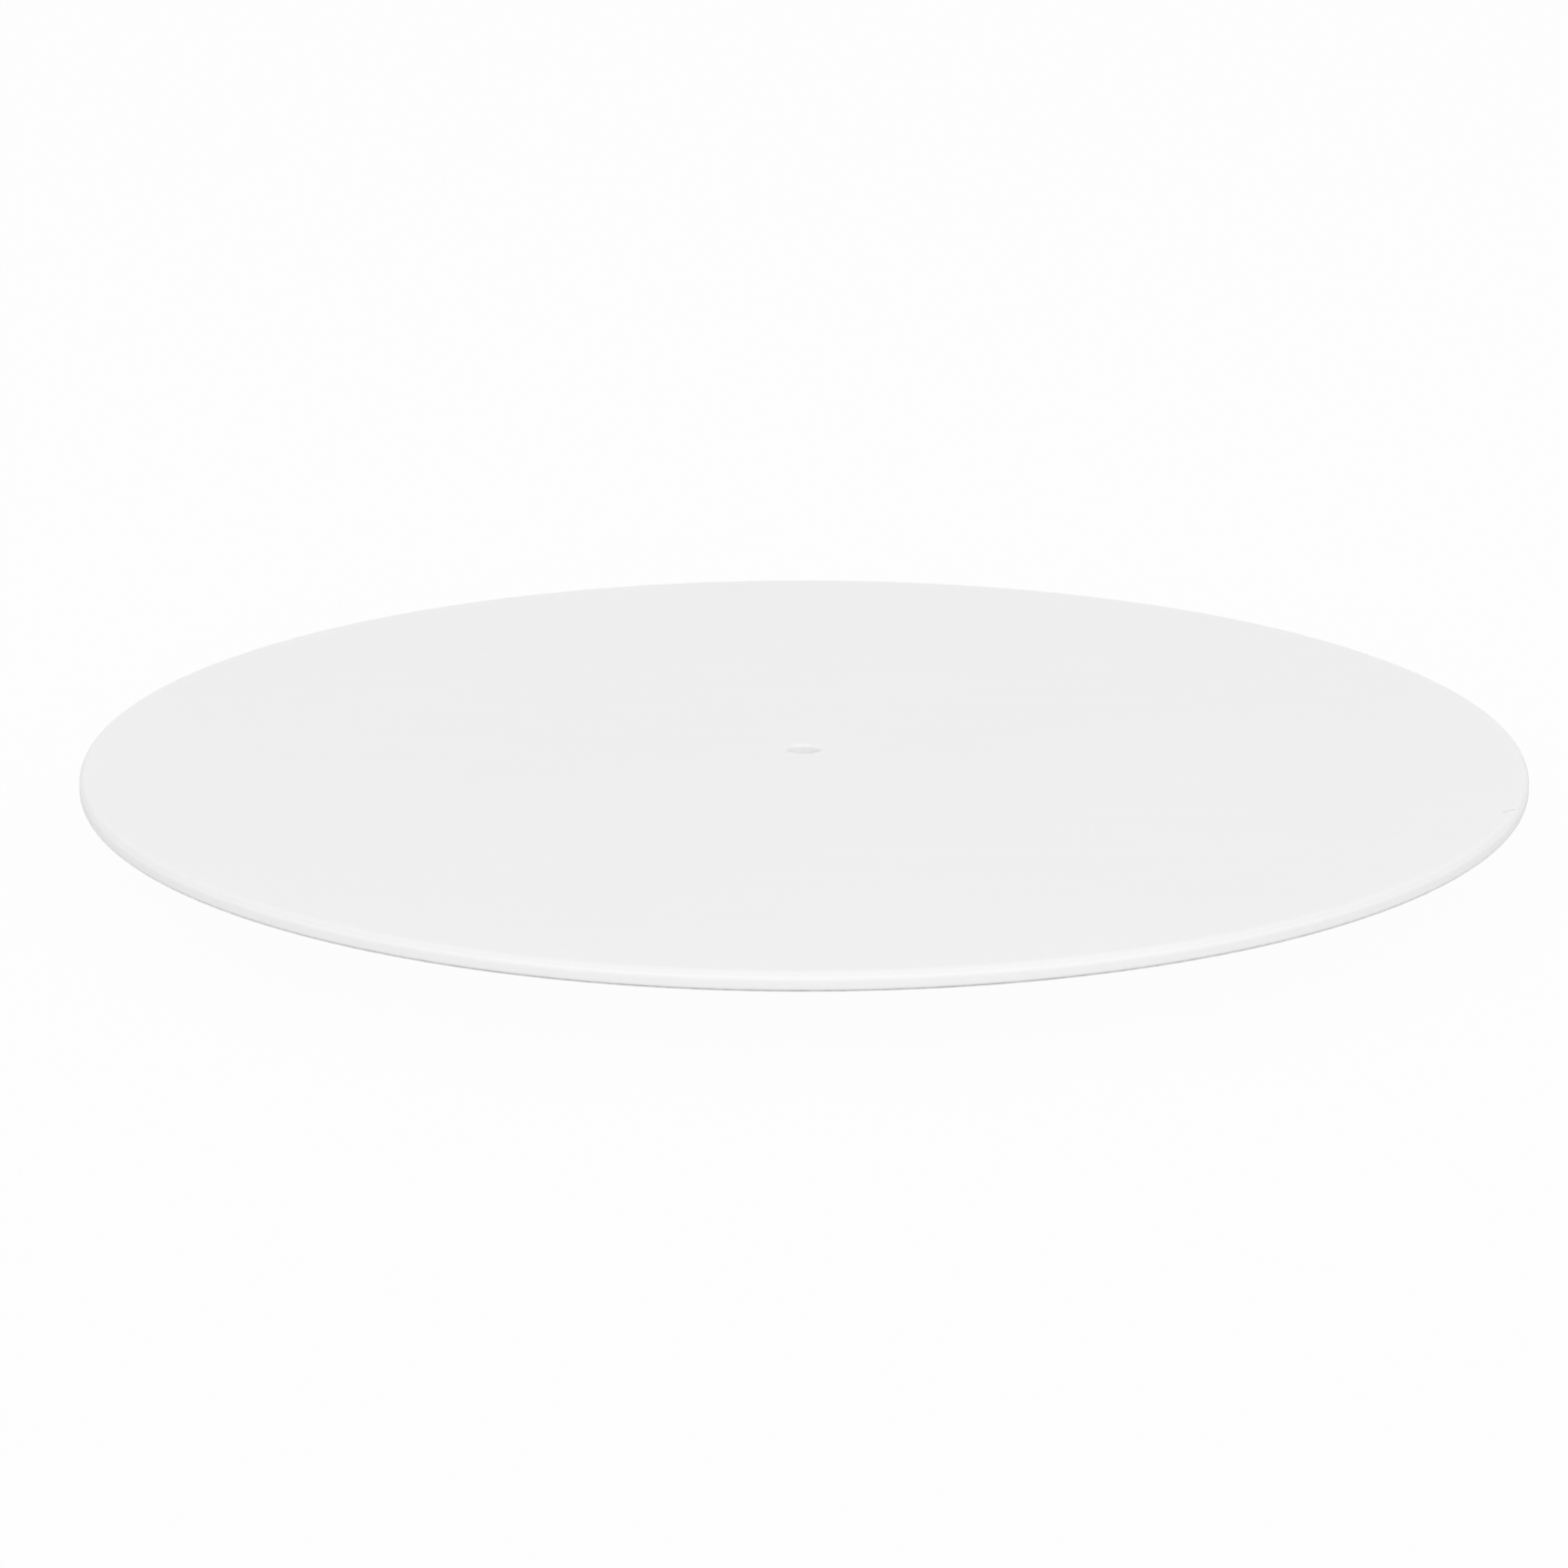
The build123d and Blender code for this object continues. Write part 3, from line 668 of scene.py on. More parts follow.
def ring_rib(settings, radius, root_level, crest_level):
    """The corners of a round rib in a turned section, from the inside out."""
    return [
        (radius - settings.rib_root / 2, root_level, settings.edge_round),
        (radius - settings.rib_crest / 2, crest_level, settings.edge_round),
        (radius + settings.rib_crest / 2, crest_level, settings.edge_round),
        (radius + settings.rib_root / 2, root_level, settings.edge_round),
    ]


def race_seat(settings, level, inward, race_inner, track_radius):
    """The corners of a race's seat in a turned section, from the outside in: the channel behind the
    groove, and the ring that centres the race. inward is 1 where the plate lies below the level."""
    edge = settings.edge_round
    floor = level - inward * settings.channel_depth
    crest = level + inward * settings.centring_height
    ring = race_inner - settings.fit
    return [
        (track_radius + settings.channel_width, level, edge),
        (track_radius + settings.channel_width, floor, edge),
        (track_radius - settings.channel_width, floor, edge),
        (track_radius - settings.channel_width, level, edge),
        (ring, level, edge / 2),
        (ring, crest, edge),
        (ring - settings.centring_wall, crest, edge),
        (ring - settings.centring_wall, level, edge),
    ]


def screw_places(node):
    """The centres of a race's screws, and the lowest and highest level of the screws."""
    screws = bpy.context.scene.turntable_screws
    _, reach, low, high = middle_of(node)
    radius = reach - screws.head_radius
    turns = [FULL_TURN * i / screws.count for i in range(screws.count)]
    return [(radius * cos(turn), radius * sin(turn)) for turn in turns], low, high


def track_of_balls():
    """The radius and the level that the middles of the balls run at, and their own radius."""
    (x, y), radius, low, high = middle_of("ball_01")
    return sqrt(x * x + y * y), (low + high) / 2, radius


def finish_moulding(context, piece, node, material_name):
    """Gives a moulding its even shading and its plastic, in its node's place."""
    settings = context.scene.turntable_mouldings
    plastic = moulded_plastic(material_name, tuple(settings.colour), settings.gloss, settings.grain_depth)
    place(evenly_shaded(piece), plastic, "white_abs", node)


class TURNTABLE_OT_make_base(bpy.types.Operator):
    """Makes the ribbed base that stands on the feet"""

    bl_idname = "turntable.make_base"
    bl_label = "Base"

    def execute(self, context):
        settings = context.scene.turntable_mouldings
        bearing = context.scene.turntable_bearing
        _, radius, low, high = middle_of("base_housing")
        edge, hub = settings.edge_round, settings.hub_radius
        plate_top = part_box("lower_race")[1].z - bearing.race_sheet
        plate_bottom = plate_top - settings.base_plate
        crest = low + settings.rib_rise
        boss_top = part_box("pivot_washer")[0].z
        inside = radius - settings.skirt_wall
        section = rounded_section([
            (settings.bolt_hole, low + settings.hub_lift, edge),
            (hub, low + settings.hub_lift, 2 * edge),
            (hub, plate_bottom, edge),
            *ring_rib(settings, settings.rib_rings[0], plate_bottom, crest),
            *ring_rib(settings, settings.rib_rings[1], plate_bottom, crest),
            (inside, plate_bottom, edge),
            (inside, low, edge),
            (radius, low, settings.rim_round),
            (radius, high, settings.rim_round),
            (inside, high, edge),
            (inside, plate_top, edge),
            *race_seat(settings, plate_top, 1, bearing.race_inner, track_of_balls()[0]),
            (hub, plate_top, edge),
            (hub, boss_top, edge),
            (settings.bolt_hole, boss_top, edge),
        ], steps=4)
        base = new_piece("base_moulding", *turned(section, columns=240))
        rib_end = radius - settings.skirt_wall / 2
        combine(base, ribs(settings, plate_bottom, crest, hub - settings.rib_sink, rib_end), "UNION")
        feet = [middle_of(node) for node in nodes_named("rubber_foot")]
        screws, tip, _ = screw_places("lower_race_screws")
        inner = plate_bottom + edge
        bosses = [post(foot[0], settings.foot_boss, low, inner, edge) for foot in feet]
        boss_low = crest + settings.hub_lift
        bosses += [post(centre, settings.screw_boss, boss_low, inner, edge) for centre in screws]
        combine(base, new_piece("bosses", *joined(bosses)), "UNION")
        _, _, _, nut_top = middle_of("pivot_nut")
        angle = even_angles(48)
        pocket = hexagon_reach(angle, context.scene.turntable_pivot.nut_flat + settings.fit)
        below = low - CUT_REACH
        layers = piled(angle, (0, below), (pocket, below), (pocket, nut_top), (0, nut_top))
        cuts = [post(foot[0], foot[1] + settings.fit, below, foot[3]) for foot in feet]
        pilot_low, pilot_high = tip - settings.tip_room, plate_top + CUT_REACH
        cuts += [post(centre, settings.pilot_radius, pilot_low, pilot_high) for centre in screws]
        cuts.append(wound(*layers, angle, closed=False))
        combine(base, new_piece("cuts", *joined(cuts)), "DIFFERENCE")
        finish_moulding(context, base, "base_housing", "base_plastic")
        return {"FINISHED"}


class TURNTABLE_OT_make_carrier(bpy.types.Operator):
    """Makes the turning plate that the disc lies on"""

    bl_idname = "turntable.make_carrier"
    bl_label = "Carrier"

    def execute(self, context):
        settings = context.scene.turntable_mouldings
        bearing = context.scene.turntable_bearing
        _, radius, low, high = middle_of("carrier_plate")
        edge, hub = settings.edge_round, settings.hub_radius
        plate_bottom = high - settings.carrier_plate
        crest = plate_bottom - settings.carrier_rib
        _, flange, bush_low, bush_high = middle_of("hub_bush")
        flange_low = bush_high - context.scene.turntable_pivot.bush_flange
        head_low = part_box("pivot_screw")[1].z - context.scene.turntable_pivot.head_height
        hub_low = bush_low + settings.tip_room
        inside = radius - settings.carrier_wall
        seat = race_seat(settings, plate_bottom, -1, bearing.race_inner, track_of_balls()[0])
        section = rounded_section([
            (settings.bush_hole, hub_low, edge),
            (hub, hub_low, edge),
            (hub, plate_bottom, edge),
            *ring_rib(settings, settings.rib_rings[0], plate_bottom, crest),
            *reversed(seat),
            (inside, plate_bottom, edge),
            (inside, low, edge),
            (radius, low, 2 * edge),
            (radius, high, settings.rim_round),
            (settings.cap_hole, high, edge),
            (settings.cap_hole, head_low, edge / 2),
            (flange + settings.fit, head_low, edge / 2),
            (flange + settings.fit, flange_low, edge / 2),
            (settings.bush_hole, flange_low, edge),
        ], steps=4)
        carrier = new_piece("carrier_moulding", *turned(section, columns=240))
        rib_end = bearing.race_inner - settings.fit - settings.centring_wall / 2
        combine(carrier, ribs(settings, plate_bottom, crest, hub - settings.rib_sink, rib_end), "UNION")
        pads = [middle_of(node) for node in nodes_named("grip_pad")]
        screws, _, tip = screw_places("upper_race_screws")
        cuts = [post(pad[0], pad[1] + settings.fit, pad[2], high + CUT_REACH) for pad in pads]
        pilot_low, pilot_high = plate_bottom - CUT_REACH, tip + settings.tip_room
        cuts += [post(centre, settings.pilot_radius, pilot_low, pilot_high) for centre in screws]
        combine(carrier, new_piece("cuts", *joined(cuts)), "DIFFERENCE")
        finish_moulding(context, carrier, "carrier_plate", "carrier_plastic")
        return {"FINISHED"}


# ---------------------------------------------------------------- feet and pads
class FootSettings(bpy.types.PropertyGroup):
    """Sizes and finish of the six rubber feet."""

    sole_round: bpy.props.FloatProperty(
        name="Sole rounding", description="Radius of the sole's edge", default=1.2 * MM, unit="LENGTH")
    hollow_radius: bpy.props.FloatProperty(
        name="Hollow radius", description="Radius of the hollow in the sole", default=3.5 * MM, unit="LENGTH")
    hollow_depth: bpy.props.FloatProperty(
        name="Hollow depth", description="Depth of the hollow in the sole", default=0.6 * MM, unit="LENGTH")
    groove_radius: bpy.props.FloatProperty(
        name="Groove radius", description="Radius of the groove in the sole", default=5.1 * MM, unit="LENGTH")
    groove_width: bpy.props.FloatProperty(
        name="Groove width", description="Width of the groove in the sole", default=0.7 * MM, unit="LENGTH")
    groove_depth: bpy.props.FloatProperty(
        name="Groove depth", description="Depth of the groove in the sole", default=0.35 * MM, unit="LENGTH")
    colour: bpy.props.FloatVectorProperty(
        name="Foot colour", description="Dark grey of the rubber", default=(0.035, 0.035, 0.037),
        subtype="COLOR", size=3)


def make_rubber(settings):
    """Matt rubber: fine grain, and paler dust on what touches the table."""
    material, tree, shader = new_material("foot_rubber_finish", {"IOR": 1.52, "Specular IOR Level": 0.35})
    point = surface_point(tree)
    grain = clouds(tree, point, 0.5 * MM, detail=3.0)
    dust = spread(tree, clouds(tree, point, 4 * MM, detail=4.0), 0.0, 0.6, 0.45, 0.8)
    dusty = tuple(part + 0.10 for part in settings.colour)
    tree.links.new(tinted(tree, dust, tuple(settings.colour), dusty), shader.inputs["Base Color"])
    tree.links.new(spread(tree, grain, 0.62, 0.82), shader.inputs["Roughness"])
    relief(tree, shader, grain, 0.03 * MM)
    return material


class TURNTABLE_OT_make_feet(bpy.types.Operator):
    """Makes the rubber feet, with a grooved and hollowed sole"""

    bl_idname = "turntable.make_feet"
    bl_label = "Feet"

    def execute(self, context):
        settings = context.scene.turntable_feet
        rubber = make_rubber(settings)
        round_off = 0.15 * MM
        for number, node in enumerate(nodes_named("rubber_foot"), start=1):
            centre, radius, low, high = middle_of(node)
            inner = settings.groove_radius - settings.groove_width / 2
            outer = settings.groove_radius + settings.groove_width / 2
            section = rounded_section(
                [
                    (0, low + settings.hollow_depth, 0),
                    (settings.hollow_radius, low + settings.hollow_depth, 2 * round_off),
                    (settings.hollow_radius, low, round_off),
                    (inner, low, round_off),
                    (inner + round_off, low + settings.groove_depth, round_off / 2),
                    (outer - round_off, low + settings.groove_depth, round_off / 2),
                    (outer, low, round_off),
                    (radius, low, settings.sole_round),
                    (radius, high, 2 * round_off),
                    (0, high, 0),
                ],
                closed=False,
            )
            foot = new_piece(f"foot_{number}", *turned(section, centre, columns=72, closed=False))
            place(foot, rubber, "foot_rubber", node)
        return {"FINISHED"}


class PadSettings(bpy.types.PropertyGroup):
    """Sizes and finish of the six grip pads."""

    ring_count: bpy.props.IntProperty(
        name="Rings", description="Number of raised rings on a pad's face", default=5)
    ring_depth: bpy.props.FloatProperty(
        name="Ring depth", description="Depth of the furrows between the rings", default=0.18 * MM,
        unit="LENGTH")
    edge_round: bpy.props.FloatProperty(
        name="Edge rounding", description="Radius of a pad's upper edge", default=0.5 * MM, unit="LENGTH")
    colour: bpy.props.FloatVectorProperty(
        name="Pad colour", description="Milky grey of the silicone", default=(0.62, 0.64, 0.65),
        subtype="COLOR", size=3)


def pad_section(settings, radius, low, high):
    """From the middle of a pad's face outwards, then down its side: the face sinks by the ring depth in
    furrows that follow a cosine of the radius, and its edge is rounded."""
    face = radius - 2 * settings.edge_round
    run = np.linspace(0, face, settings.ring_count * 16 + 1)
    sink = settings.ring_depth * (1 - np.cos(FULL_TURN * settings.ring_count * run / face)) / 2
    ringed = np.stack([run, high - sink], axis=1)
    edge = rounded_section(
        [(face, high, 0), (radius, high, settings.edge_round), (radius, low, 0.2 * MM), (0, low, 0)],
        closed=False,
    )
    return np.vstack([ringed, edge[1:]])


def make_silicone(settings):
    """Milky silicone: soft, slightly clear, with a faint bloom."""
    sockets = {
        "IOR": 1.41,
        "Subsurface Weight": 0.4,
        "Subsurface Radius": (1.0, 1.0, 1.0),
        "Subsurface Scale": 1.5 * MM,
    }
    material, tree, shader = new_material("pad_silicone_finish", sockets)
    point = surface_point(tree)
    bloom = clouds(tree, point, 3 * MM, detail=3.0)
    deeper = shade(settings.colour, 0.90)
    tree.links.new(tinted(tree, bloom, deeper, tuple(settings.colour)), shader.inputs["Base Color"])
    tree.links.new(spread(tree, bloom, 0.38, 0.55), shader.inputs["Roughness"])
    relief(tree, shader, clouds(tree, point, 0.25 * MM), 0.01 * MM)
    return material


class TURNTABLE_OT_make_pads(bpy.types.Operator):
    """Makes the soft ringed pads that the disc rests on"""

    bl_idname = "turntable.make_pads"
    bl_label = "Grip Pads"

    def execute(self, context):
        settings = context.scene.turntable_pads
        silicone = make_silicone(settings)
        for number, node in enumerate(nodes_named("grip_pad"), start=1):
            centre, radius, low, high = middle_of(node)
            section = pad_section(settings, radius, low, high)
            pad = new_piece(f"ringed_pad_{number}", *turned(section, centre, columns=80, closed=False), 60)
            place(pad, silicone, "pad_silicone", node)
        return {"FINISHED"}


# ---------------------------------------------------------------- bearing
class BearingSettings(bpy.types.PropertyGroup):
    """Sizes and finish of the races, the cage and the balls."""

    race_colour: bpy.props.FloatVectorProperty(
        name="Race colour", description="Zinc plate of the races", default=(0.66, 0.68, 0.71),
        subtype="COLOR", size=3)
    race_inner: bpy.props.FloatProperty(
        name="Race inner radius", description="Inner radius of the races", default=70 * MM, unit="LENGTH")
    race_sheet: bpy.props.FloatProperty(
        name="Race sheet", description="Thickness of the sheet of the races", default=1.5 * MM,
        unit="LENGTH")
    race_edge: bpy.props.FloatProperty(
        name="Race edge", description="Radius of the sheet's cut edges", default=0.3 * MM, unit="LENGTH")
    race_bend: bpy.props.FloatProperty(
        name="Race bend", description="Radius of the bend from the flat into the groove", default=0.6 * MM,
        unit="LENGTH")
    ball_play: bpy.props.FloatProperty(
        name="Ball play", description="Room between a ball and its groove", default=0.08 * MM,
        unit="LENGTH")
    hole_radius: bpy.props.FloatProperty(
        name="Screw hole radius", description="Radius of the screw holes", default=1.7 * MM, unit="LENGTH")
    hole_ease: bpy.props.FloatProperty(
        name="Screw hole ease", description="Width of the slope round a screw hole", default=0.15 * MM,
        unit="LENGTH")
    track_width: bpy.props.FloatProperty(
        name="Track width", description="Width of the band that the balls have polished", default=1.6 * MM,
        unit="LENGTH")
    ball_colour: bpy.props.FloatVectorProperty(
        name="Ball colour", description="Polished steel of the balls", default=(0.74, 0.74, 0.75),
        subtype="COLOR", size=3)
    ball_steps: bpy.props.IntProperty(
        name="Ball steps", description="Steps along a side of the balls' grids", default=14)
    cage_colour: bpy.props.FloatVectorProperty(
        name="Cage colour", description="Natural nylon of the cage", default=(0.70, 0.66, 0.56),
        subtype="COLOR", size=3)
    cage_edge: bpy.props.FloatProperty(
        name="Cage edge", description="Width of the round on the cage's edges", default=0.15 * MM,
        unit="LENGTH")


def make_race_metal(settings, track_radius):
    """Zinc-plated sheet with a brighter band, polished by the balls, along the middle of its groove."""
    colour = tuple(settings.race_colour)
    material, tree, shader = bright_metal("zinc_plated_sheet", colour, 0.30)
    off = calculated(tree, "SUBTRACT", axis_distance(tree, surface_point(tree)), track_radius)
    off = calculated(tree, "ABSOLUTE", off)
    half = settings.track_width / 2
    polish = spread(tree, off, 1.0, 0.0, 0.7 * half, 1.2 * half)
    plated = shader.inputs["Roughness"].links[0].from_socket
    kept = calculated(tree, "MULTIPLY", plated, spread(tree, polish, 1.0, 0.4, 0.0, 1.0))
    tree.links.new(kept, shader.inputs["Roughness"])
    zinc = shader.inputs["Base Color"].links[0].from_socket
    tree.links.new(tinted(tree, polish, zinc, (0.78, 0.78, 0.79)), shader.inputs["Base Color"])
    return material


def pressed_section(settings, ball_radius, gap, inner, outer):
    """Section of a pressed race, with the middle of the balls at its origin and the sheet below: a flat
    from inner to outer, gap below the middle, that dips into a groove about the balls. Both faces of the
    groove are arcs about the middle, and small arcs join them to the flats. Such a small arc touches the
    flat and the groove, so its centre is its radius below the flat and, from the middle, the two radii
    added together."""
    edge, bend, sheet = settings.race_edge, settings.race_bend, settings.race_sheet
    groove = ball_radius + settings.ball_play
    back = gap + sheet
    face_shift = sqrt((groove + bend) ** 2 - (gap + bend) ** 2)
    back_shift = sqrt((groove + sheet + bend) ** 2 - (back + bend) ** 2)
    dip = degrees(np.arctan2(gap + bend, face_shift))
    bulge = degrees(np.arctan2(back + bend, back_shift))
    return np.vstack([
        arc_points((inner + edge, edge - back), edge, -90, -180, 4),
        arc_points((inner + edge, -gap - edge), edge, 180, 90, 4),
        arc_points((-face_shift, -gap - bend), bend, 90, dip, 5),
        arc_points((0, 0), groove, 180 + dip, 360 - dip, 16),
        arc_points((face_shift, -gap - bend), bend, 180 - dip, 90, 5),
        arc_points((outer - edge, -gap - edge), edge, 90, 0, 4),
        arc_points((outer - edge, edge - back), edge, 0, -90, 4),
        arc_points((back_shift, -back - bend), bend, 90, 180 - bulge, 4),
        arc_points((0, 0), groove + sheet, -bulge, bulge - 180, 16),
        arc_points((-back_shift, -back - bend), bend, bulge, 90, 4),
    ])


def hole_cutter(settings, screws, face, back):
    """Six round punches through a race, which flare out at 45 degrees above its face and below its back."""
    ease = settings.hole_ease
    wide = settings.hole_radius + ease + CUT_REACH
    outward = CUT_REACH if face > back else -CUT_REACH
    inward = -ease if face > back else ease
    section = np.array([
        (0, back - outward),
        (wide, back - outward),
        (settings.hole_radius, back - inward),
        (settings.hole_radius, face + inward),
        (wide, face + outward),
        (0, face + outward),
    ])
    centres, _, _ = screw_places(screws)
    return new_piece("punches", *joined([turned(section, centre, 48, closed=False) for centre in centres]))


class TURNTABLE_OT_make_races(bpy.types.Operator):
    """Makes the two pressed rings that the balls run between"""

    bl_idname = "turntable.make_races"
    bl_label = "Races"

    def execute(self, context):
        settings = context.scene.turntable_bearing
        track_radius, ball_level, ball_radius = track_of_balls()
        metal = make_race_metal(settings, track_radius)
        races = (
            ("lower_race", "lower_race_screws", "lower_track", 1),
            ("upper_race", "upper_race_screws", "upper_track", -1),
        )
        for node, screws, name, way in races:
            _, outer, low, high = middle_of(node)
            face = high if way > 0 else low
            back = face - way * settings.race_sheet
            inner_run, outer_run = settings.race_inner - track_radius, outer - track_radius
            section = pressed_section(settings, ball_radius, abs(ball_level - face), inner_run, outer_run)
            section = section * (1, way) + (track_radius, ball_level)
            race = new_piece(name, *turned(section, columns=360))
            combine(race, hole_cutter(settings, screws, face, back), "DIFFERENCE", 30)
            place(evenly_shaded(race), metal, "plated_steel", node)
        return {"FINISHED"}


class TURNTABLE_OT_make_cage(bpy.types.Operator):
    """Makes the ring that keeps the balls apart"""

    bl_idname = "turntable.make_cage"
    bl_label = "Ball Cage"

    def execute(self, context):
        settings = context.scene.turntable_bearing
        cage = eased_copy("ball_cage", "ball_ring", settings.cage_edge, settings.cage_edge)
        sockets = {
            "Subsurface Weight": 0.3,
            "Subsurface Radius": (1.0, 0.9, 0.7),
            "Subsurface Scale": 1.5 * MM,
        }
        nylon = moulded_plastic("cage_nylon", tuple(settings.cage_colour), 0.45, 0.008 * MM, sockets)
        place(cage, nylon, "natural_nylon", "ball_cage")
        return {"FINISHED"}


class TURNTABLE_OT_make_balls(bpy.types.Operator):
    """Makes the bearing balls"""

    bl_idname = "turntable.make_balls"
    bl_label = "Balls"

    def execute(self, context):
        settings = context.scene.turntable_bearing
        steel, _, _ = bright_metal("polished_ball_steel", tuple(settings.ball_colour), 0.09)
        for node in nodes_named("ball_"):
            if node == "ball_cage":
                continue
            (x, y), radius, low, high = middle_of(node)
            shape = ball_shape(np.array([x, y, (low + high) / 2]), radius, settings.ball_steps)
            place(new_piece(f"bearing_{node}", *shape), steel, "ball_steel", node)
        return {"FINISHED"}


# ---------------------------------------------------------------- race screws
class ScrewSettings(bpy.types.PropertyGroup):
    """Sizes and finish of the screws that hold the races."""

    count: bpy.props.IntProperty(
        name="Screws", description="Number of screws in each race", default=6)
    head_radius: bpy.props.FloatProperty(
        name="Head radius", description="Radius of the head", default=2.8 * MM, unit="LENGTH")
    head_height: bpy.props.FloatProperty(
        name="Head height", description="Height of the head", default=1.4 * MM, unit="LENGTH")
    thread_radius: bpy.props.FloatProperty(
        name="Thread radius", description="Radius over the thread", default=1.45 * MM, unit="LENGTH")
    core_radius: bpy.props.FloatProperty(
        name="Core radius", description="Radius at the thread's root", default=1.05 * MM, unit="LENGTH")
    pitch: bpy.props.FloatProperty(
        name="Pitch", description="Pitch of the thread", default=1.1 * MM, unit="LENGTH")
    cross_length: bpy.props.FloatProperty(
        name="Cross length", description="Half the length of the cross recess", default=1.5 * MM,
        unit="LENGTH")
    cross_width: bpy.props.FloatProperty(
        name="Cross width", description="Half the width of an arm of the cross", default=0.4 * MM,
        unit="LENGTH")
    cross_depth: bpy.props.FloatProperty(
        name="Cross depth", description="Depth of the cross recess", default=0.9 * MM, unit="LENGTH")
    colour: bpy.props.FloatVectorProperty(
        name="Screw colour", description="Nickel plate of the screws", default=(0.63, 0.62, 0.60),
        subtype="COLOR", size=3)


def cross_angles(settings):
    """Angles that fall on every corner of the cross recess, with even steps between them."""
    corner = np.arctan2(settings.cross_width, settings.cross_length)
    end = np.linspace(-corner, corner, 6, endpoint=False)
    side = np.linspace(corner, pi / 2 - corner, 10, endpoint=False)
    return np.concatenate([quarter * pi / 2 + part for quarter in range(4) for part in (end, side)])


def screw_shape(settings, centre, face, length, way, turn):
    """A pan-head screw whose head bears on the level of face: loops from the tip, up the thread, out under
    the head, over its domed crown, and down the drafted walls of the cross recess. way is 1 with the head
    on top and -1 with it below. turn is where the screw came to rest."""
    angle = cross_angles(settings)
    core, crest, crown = settings.core_radius, settings.thread_radius, settings.head_height
    level = np.linspace(-length + 0.2 * MM, -0.3 * MM, round(14 * length / settings.pitch))[:, None]
    fade = np.clip((level + length) / (0.9 * MM), 0, 1) * np.clip(-level / (0.6 * MM), 0, 1)
    thread = thread_reach(angle + turn, level, core, core + (crest - core) * fade, settings.pitch)
    dome = rounded_section(
        [
            (core, 0, 0),
            (settings.head_radius, 0, 0.15 * MM),
            (settings.head_radius, crown, 0.95 * MM),
            (settings.cross_length + 0.12 * MM, crown, 0),
        ],
        closed=False,
        steps=8,
    )
    recess = cross_reach(angle, settings.cross_length, settings.cross_width)
    depth = crown - settings.cross_depth
    radius, height = piled(
        angle,
        (0, -length),
        (0.55 * core, -length),
        (thread, level),
        as_layer(dome),
        (recess + 0.05 * MM, crown),
        (recess, crown - 0.05 * MM),
        (0.86 * recess, depth + 0.08 * MM),
        (0.78 * recess, depth),
        (0, depth - 0.15 * MM),
    )
    return wound(radius, face + way * height, way * (angle + turn), centre, closed=False)


class TURNTABLE_OT_make_race_screws(bpy.types.Operator):
    """Makes the cross-head screws that hold each race"""

    bl_idname = "turntable.make_race_screws"
    bl_label = "Race Screws"

    def execute(self, context):
        settings = context.scene.turntable_screws
        steel, _, _ = bright_metal("nickel_plated_screw", tuple(settings.colour), 0.24)
        rest = np.random.default_rng(11)
        groups = (("lower_race_screws", "lower_screws", 1), ("upper_race_screws", "upper_screws", -1))
        for node, name, way in groups:
            centres, low, high = screw_places(node)
            face = high - settings.head_height if way > 0 else low + settings.head_height
            length = high - low - settings.head_height
            turns = rest.uniform(0, FULL_TURN, settings.count)
            shapes = [
                screw_shape(settings, centre, face, length, way, turn) for centre, turn in zip(centres, turns)
            ]
            place(new_piece(name, *joined(shapes)), steel, "screw_steel", node)
        return {"FINISHED"}


# ---------------------------------------------------------------- pivot
class PivotSettings(bpy.types.PropertyGroup):
    """Sizes and finish of the pivot screw, its nut, washer and bush."""

    shoulder_radius: bpy.props.FloatProperty(
        name="Shoulder radius", description="Radius of the smooth shoulder", default=4.0 * MM, unit="LENGTH")
    head_height: bpy.props.FloatProperty(
        name="Head height", description="Height of the low head", default=1.8 * MM, unit="LENGTH")
    thread_radius: bpy.props.FloatProperty(
        name="Thread radius", description="Radius over the thread", default=3.0 * MM, unit="LENGTH")
    core_radius: bpy.props.FloatProperty(
        name="Core radius", description="Radius at the thread's root", default=2.45 * MM, unit="LENGTH")
    pitch: bpy.props.FloatProperty(
        name="Pitch", description="Pitch of the thread", default=1.0 * MM, unit="LENGTH")
    socket_flat: bpy.props.FloatProperty(
        name="Socket size", description="Half the socket's width across flats", default=2.0 * MM,
        unit="LENGTH")
    socket_depth: bpy.props.FloatProperty(
        name="Socket depth", description="Depth of the socket", default=3.0 * MM, unit="LENGTH")
    bush_flange: bpy.props.FloatProperty(
        name="Bush flange", description="Thickness of the bush's flange", default=1.2 * MM, unit="LENGTH")
    nut_flat: bpy.props.FloatProperty(
        name="Nut size", description="Half the nut's width across flats", default=5.0 * MM, unit="LENGTH")
    thread_gap: bpy.props.FloatProperty(
        name="Thread gap", description="Room between the nut's thread and the screw's", default=0.05 * MM,
        unit="LENGTH")
    steel_colour: bpy.props.FloatVectorProperty(
        name="Pivot steel colour", description="Nickel plate of the pivot parts", default=(0.60, 0.60, 0.59),
        subtype="COLOR", size=3)
    bush_colour: bpy.props.FloatVectorProperty(
        name="Bush colour", description="Natural acetal of the bush", default=(0.79, 0.78, 0.74),
        subtype="COLOR", size=3)


def make_turned_steel(settings, name):
    """Plated steel with fine turning rings round the pivot's axis."""
    material, tree, shader = bright_metal(name, tuple(settings.steel_colour), 0.22)
    turning = rings(tree, axis_distance(tree, surface_point(tree)), 0.12 * MM)
    relief(tree, shader, turning, 0.003 * MM)
    return material


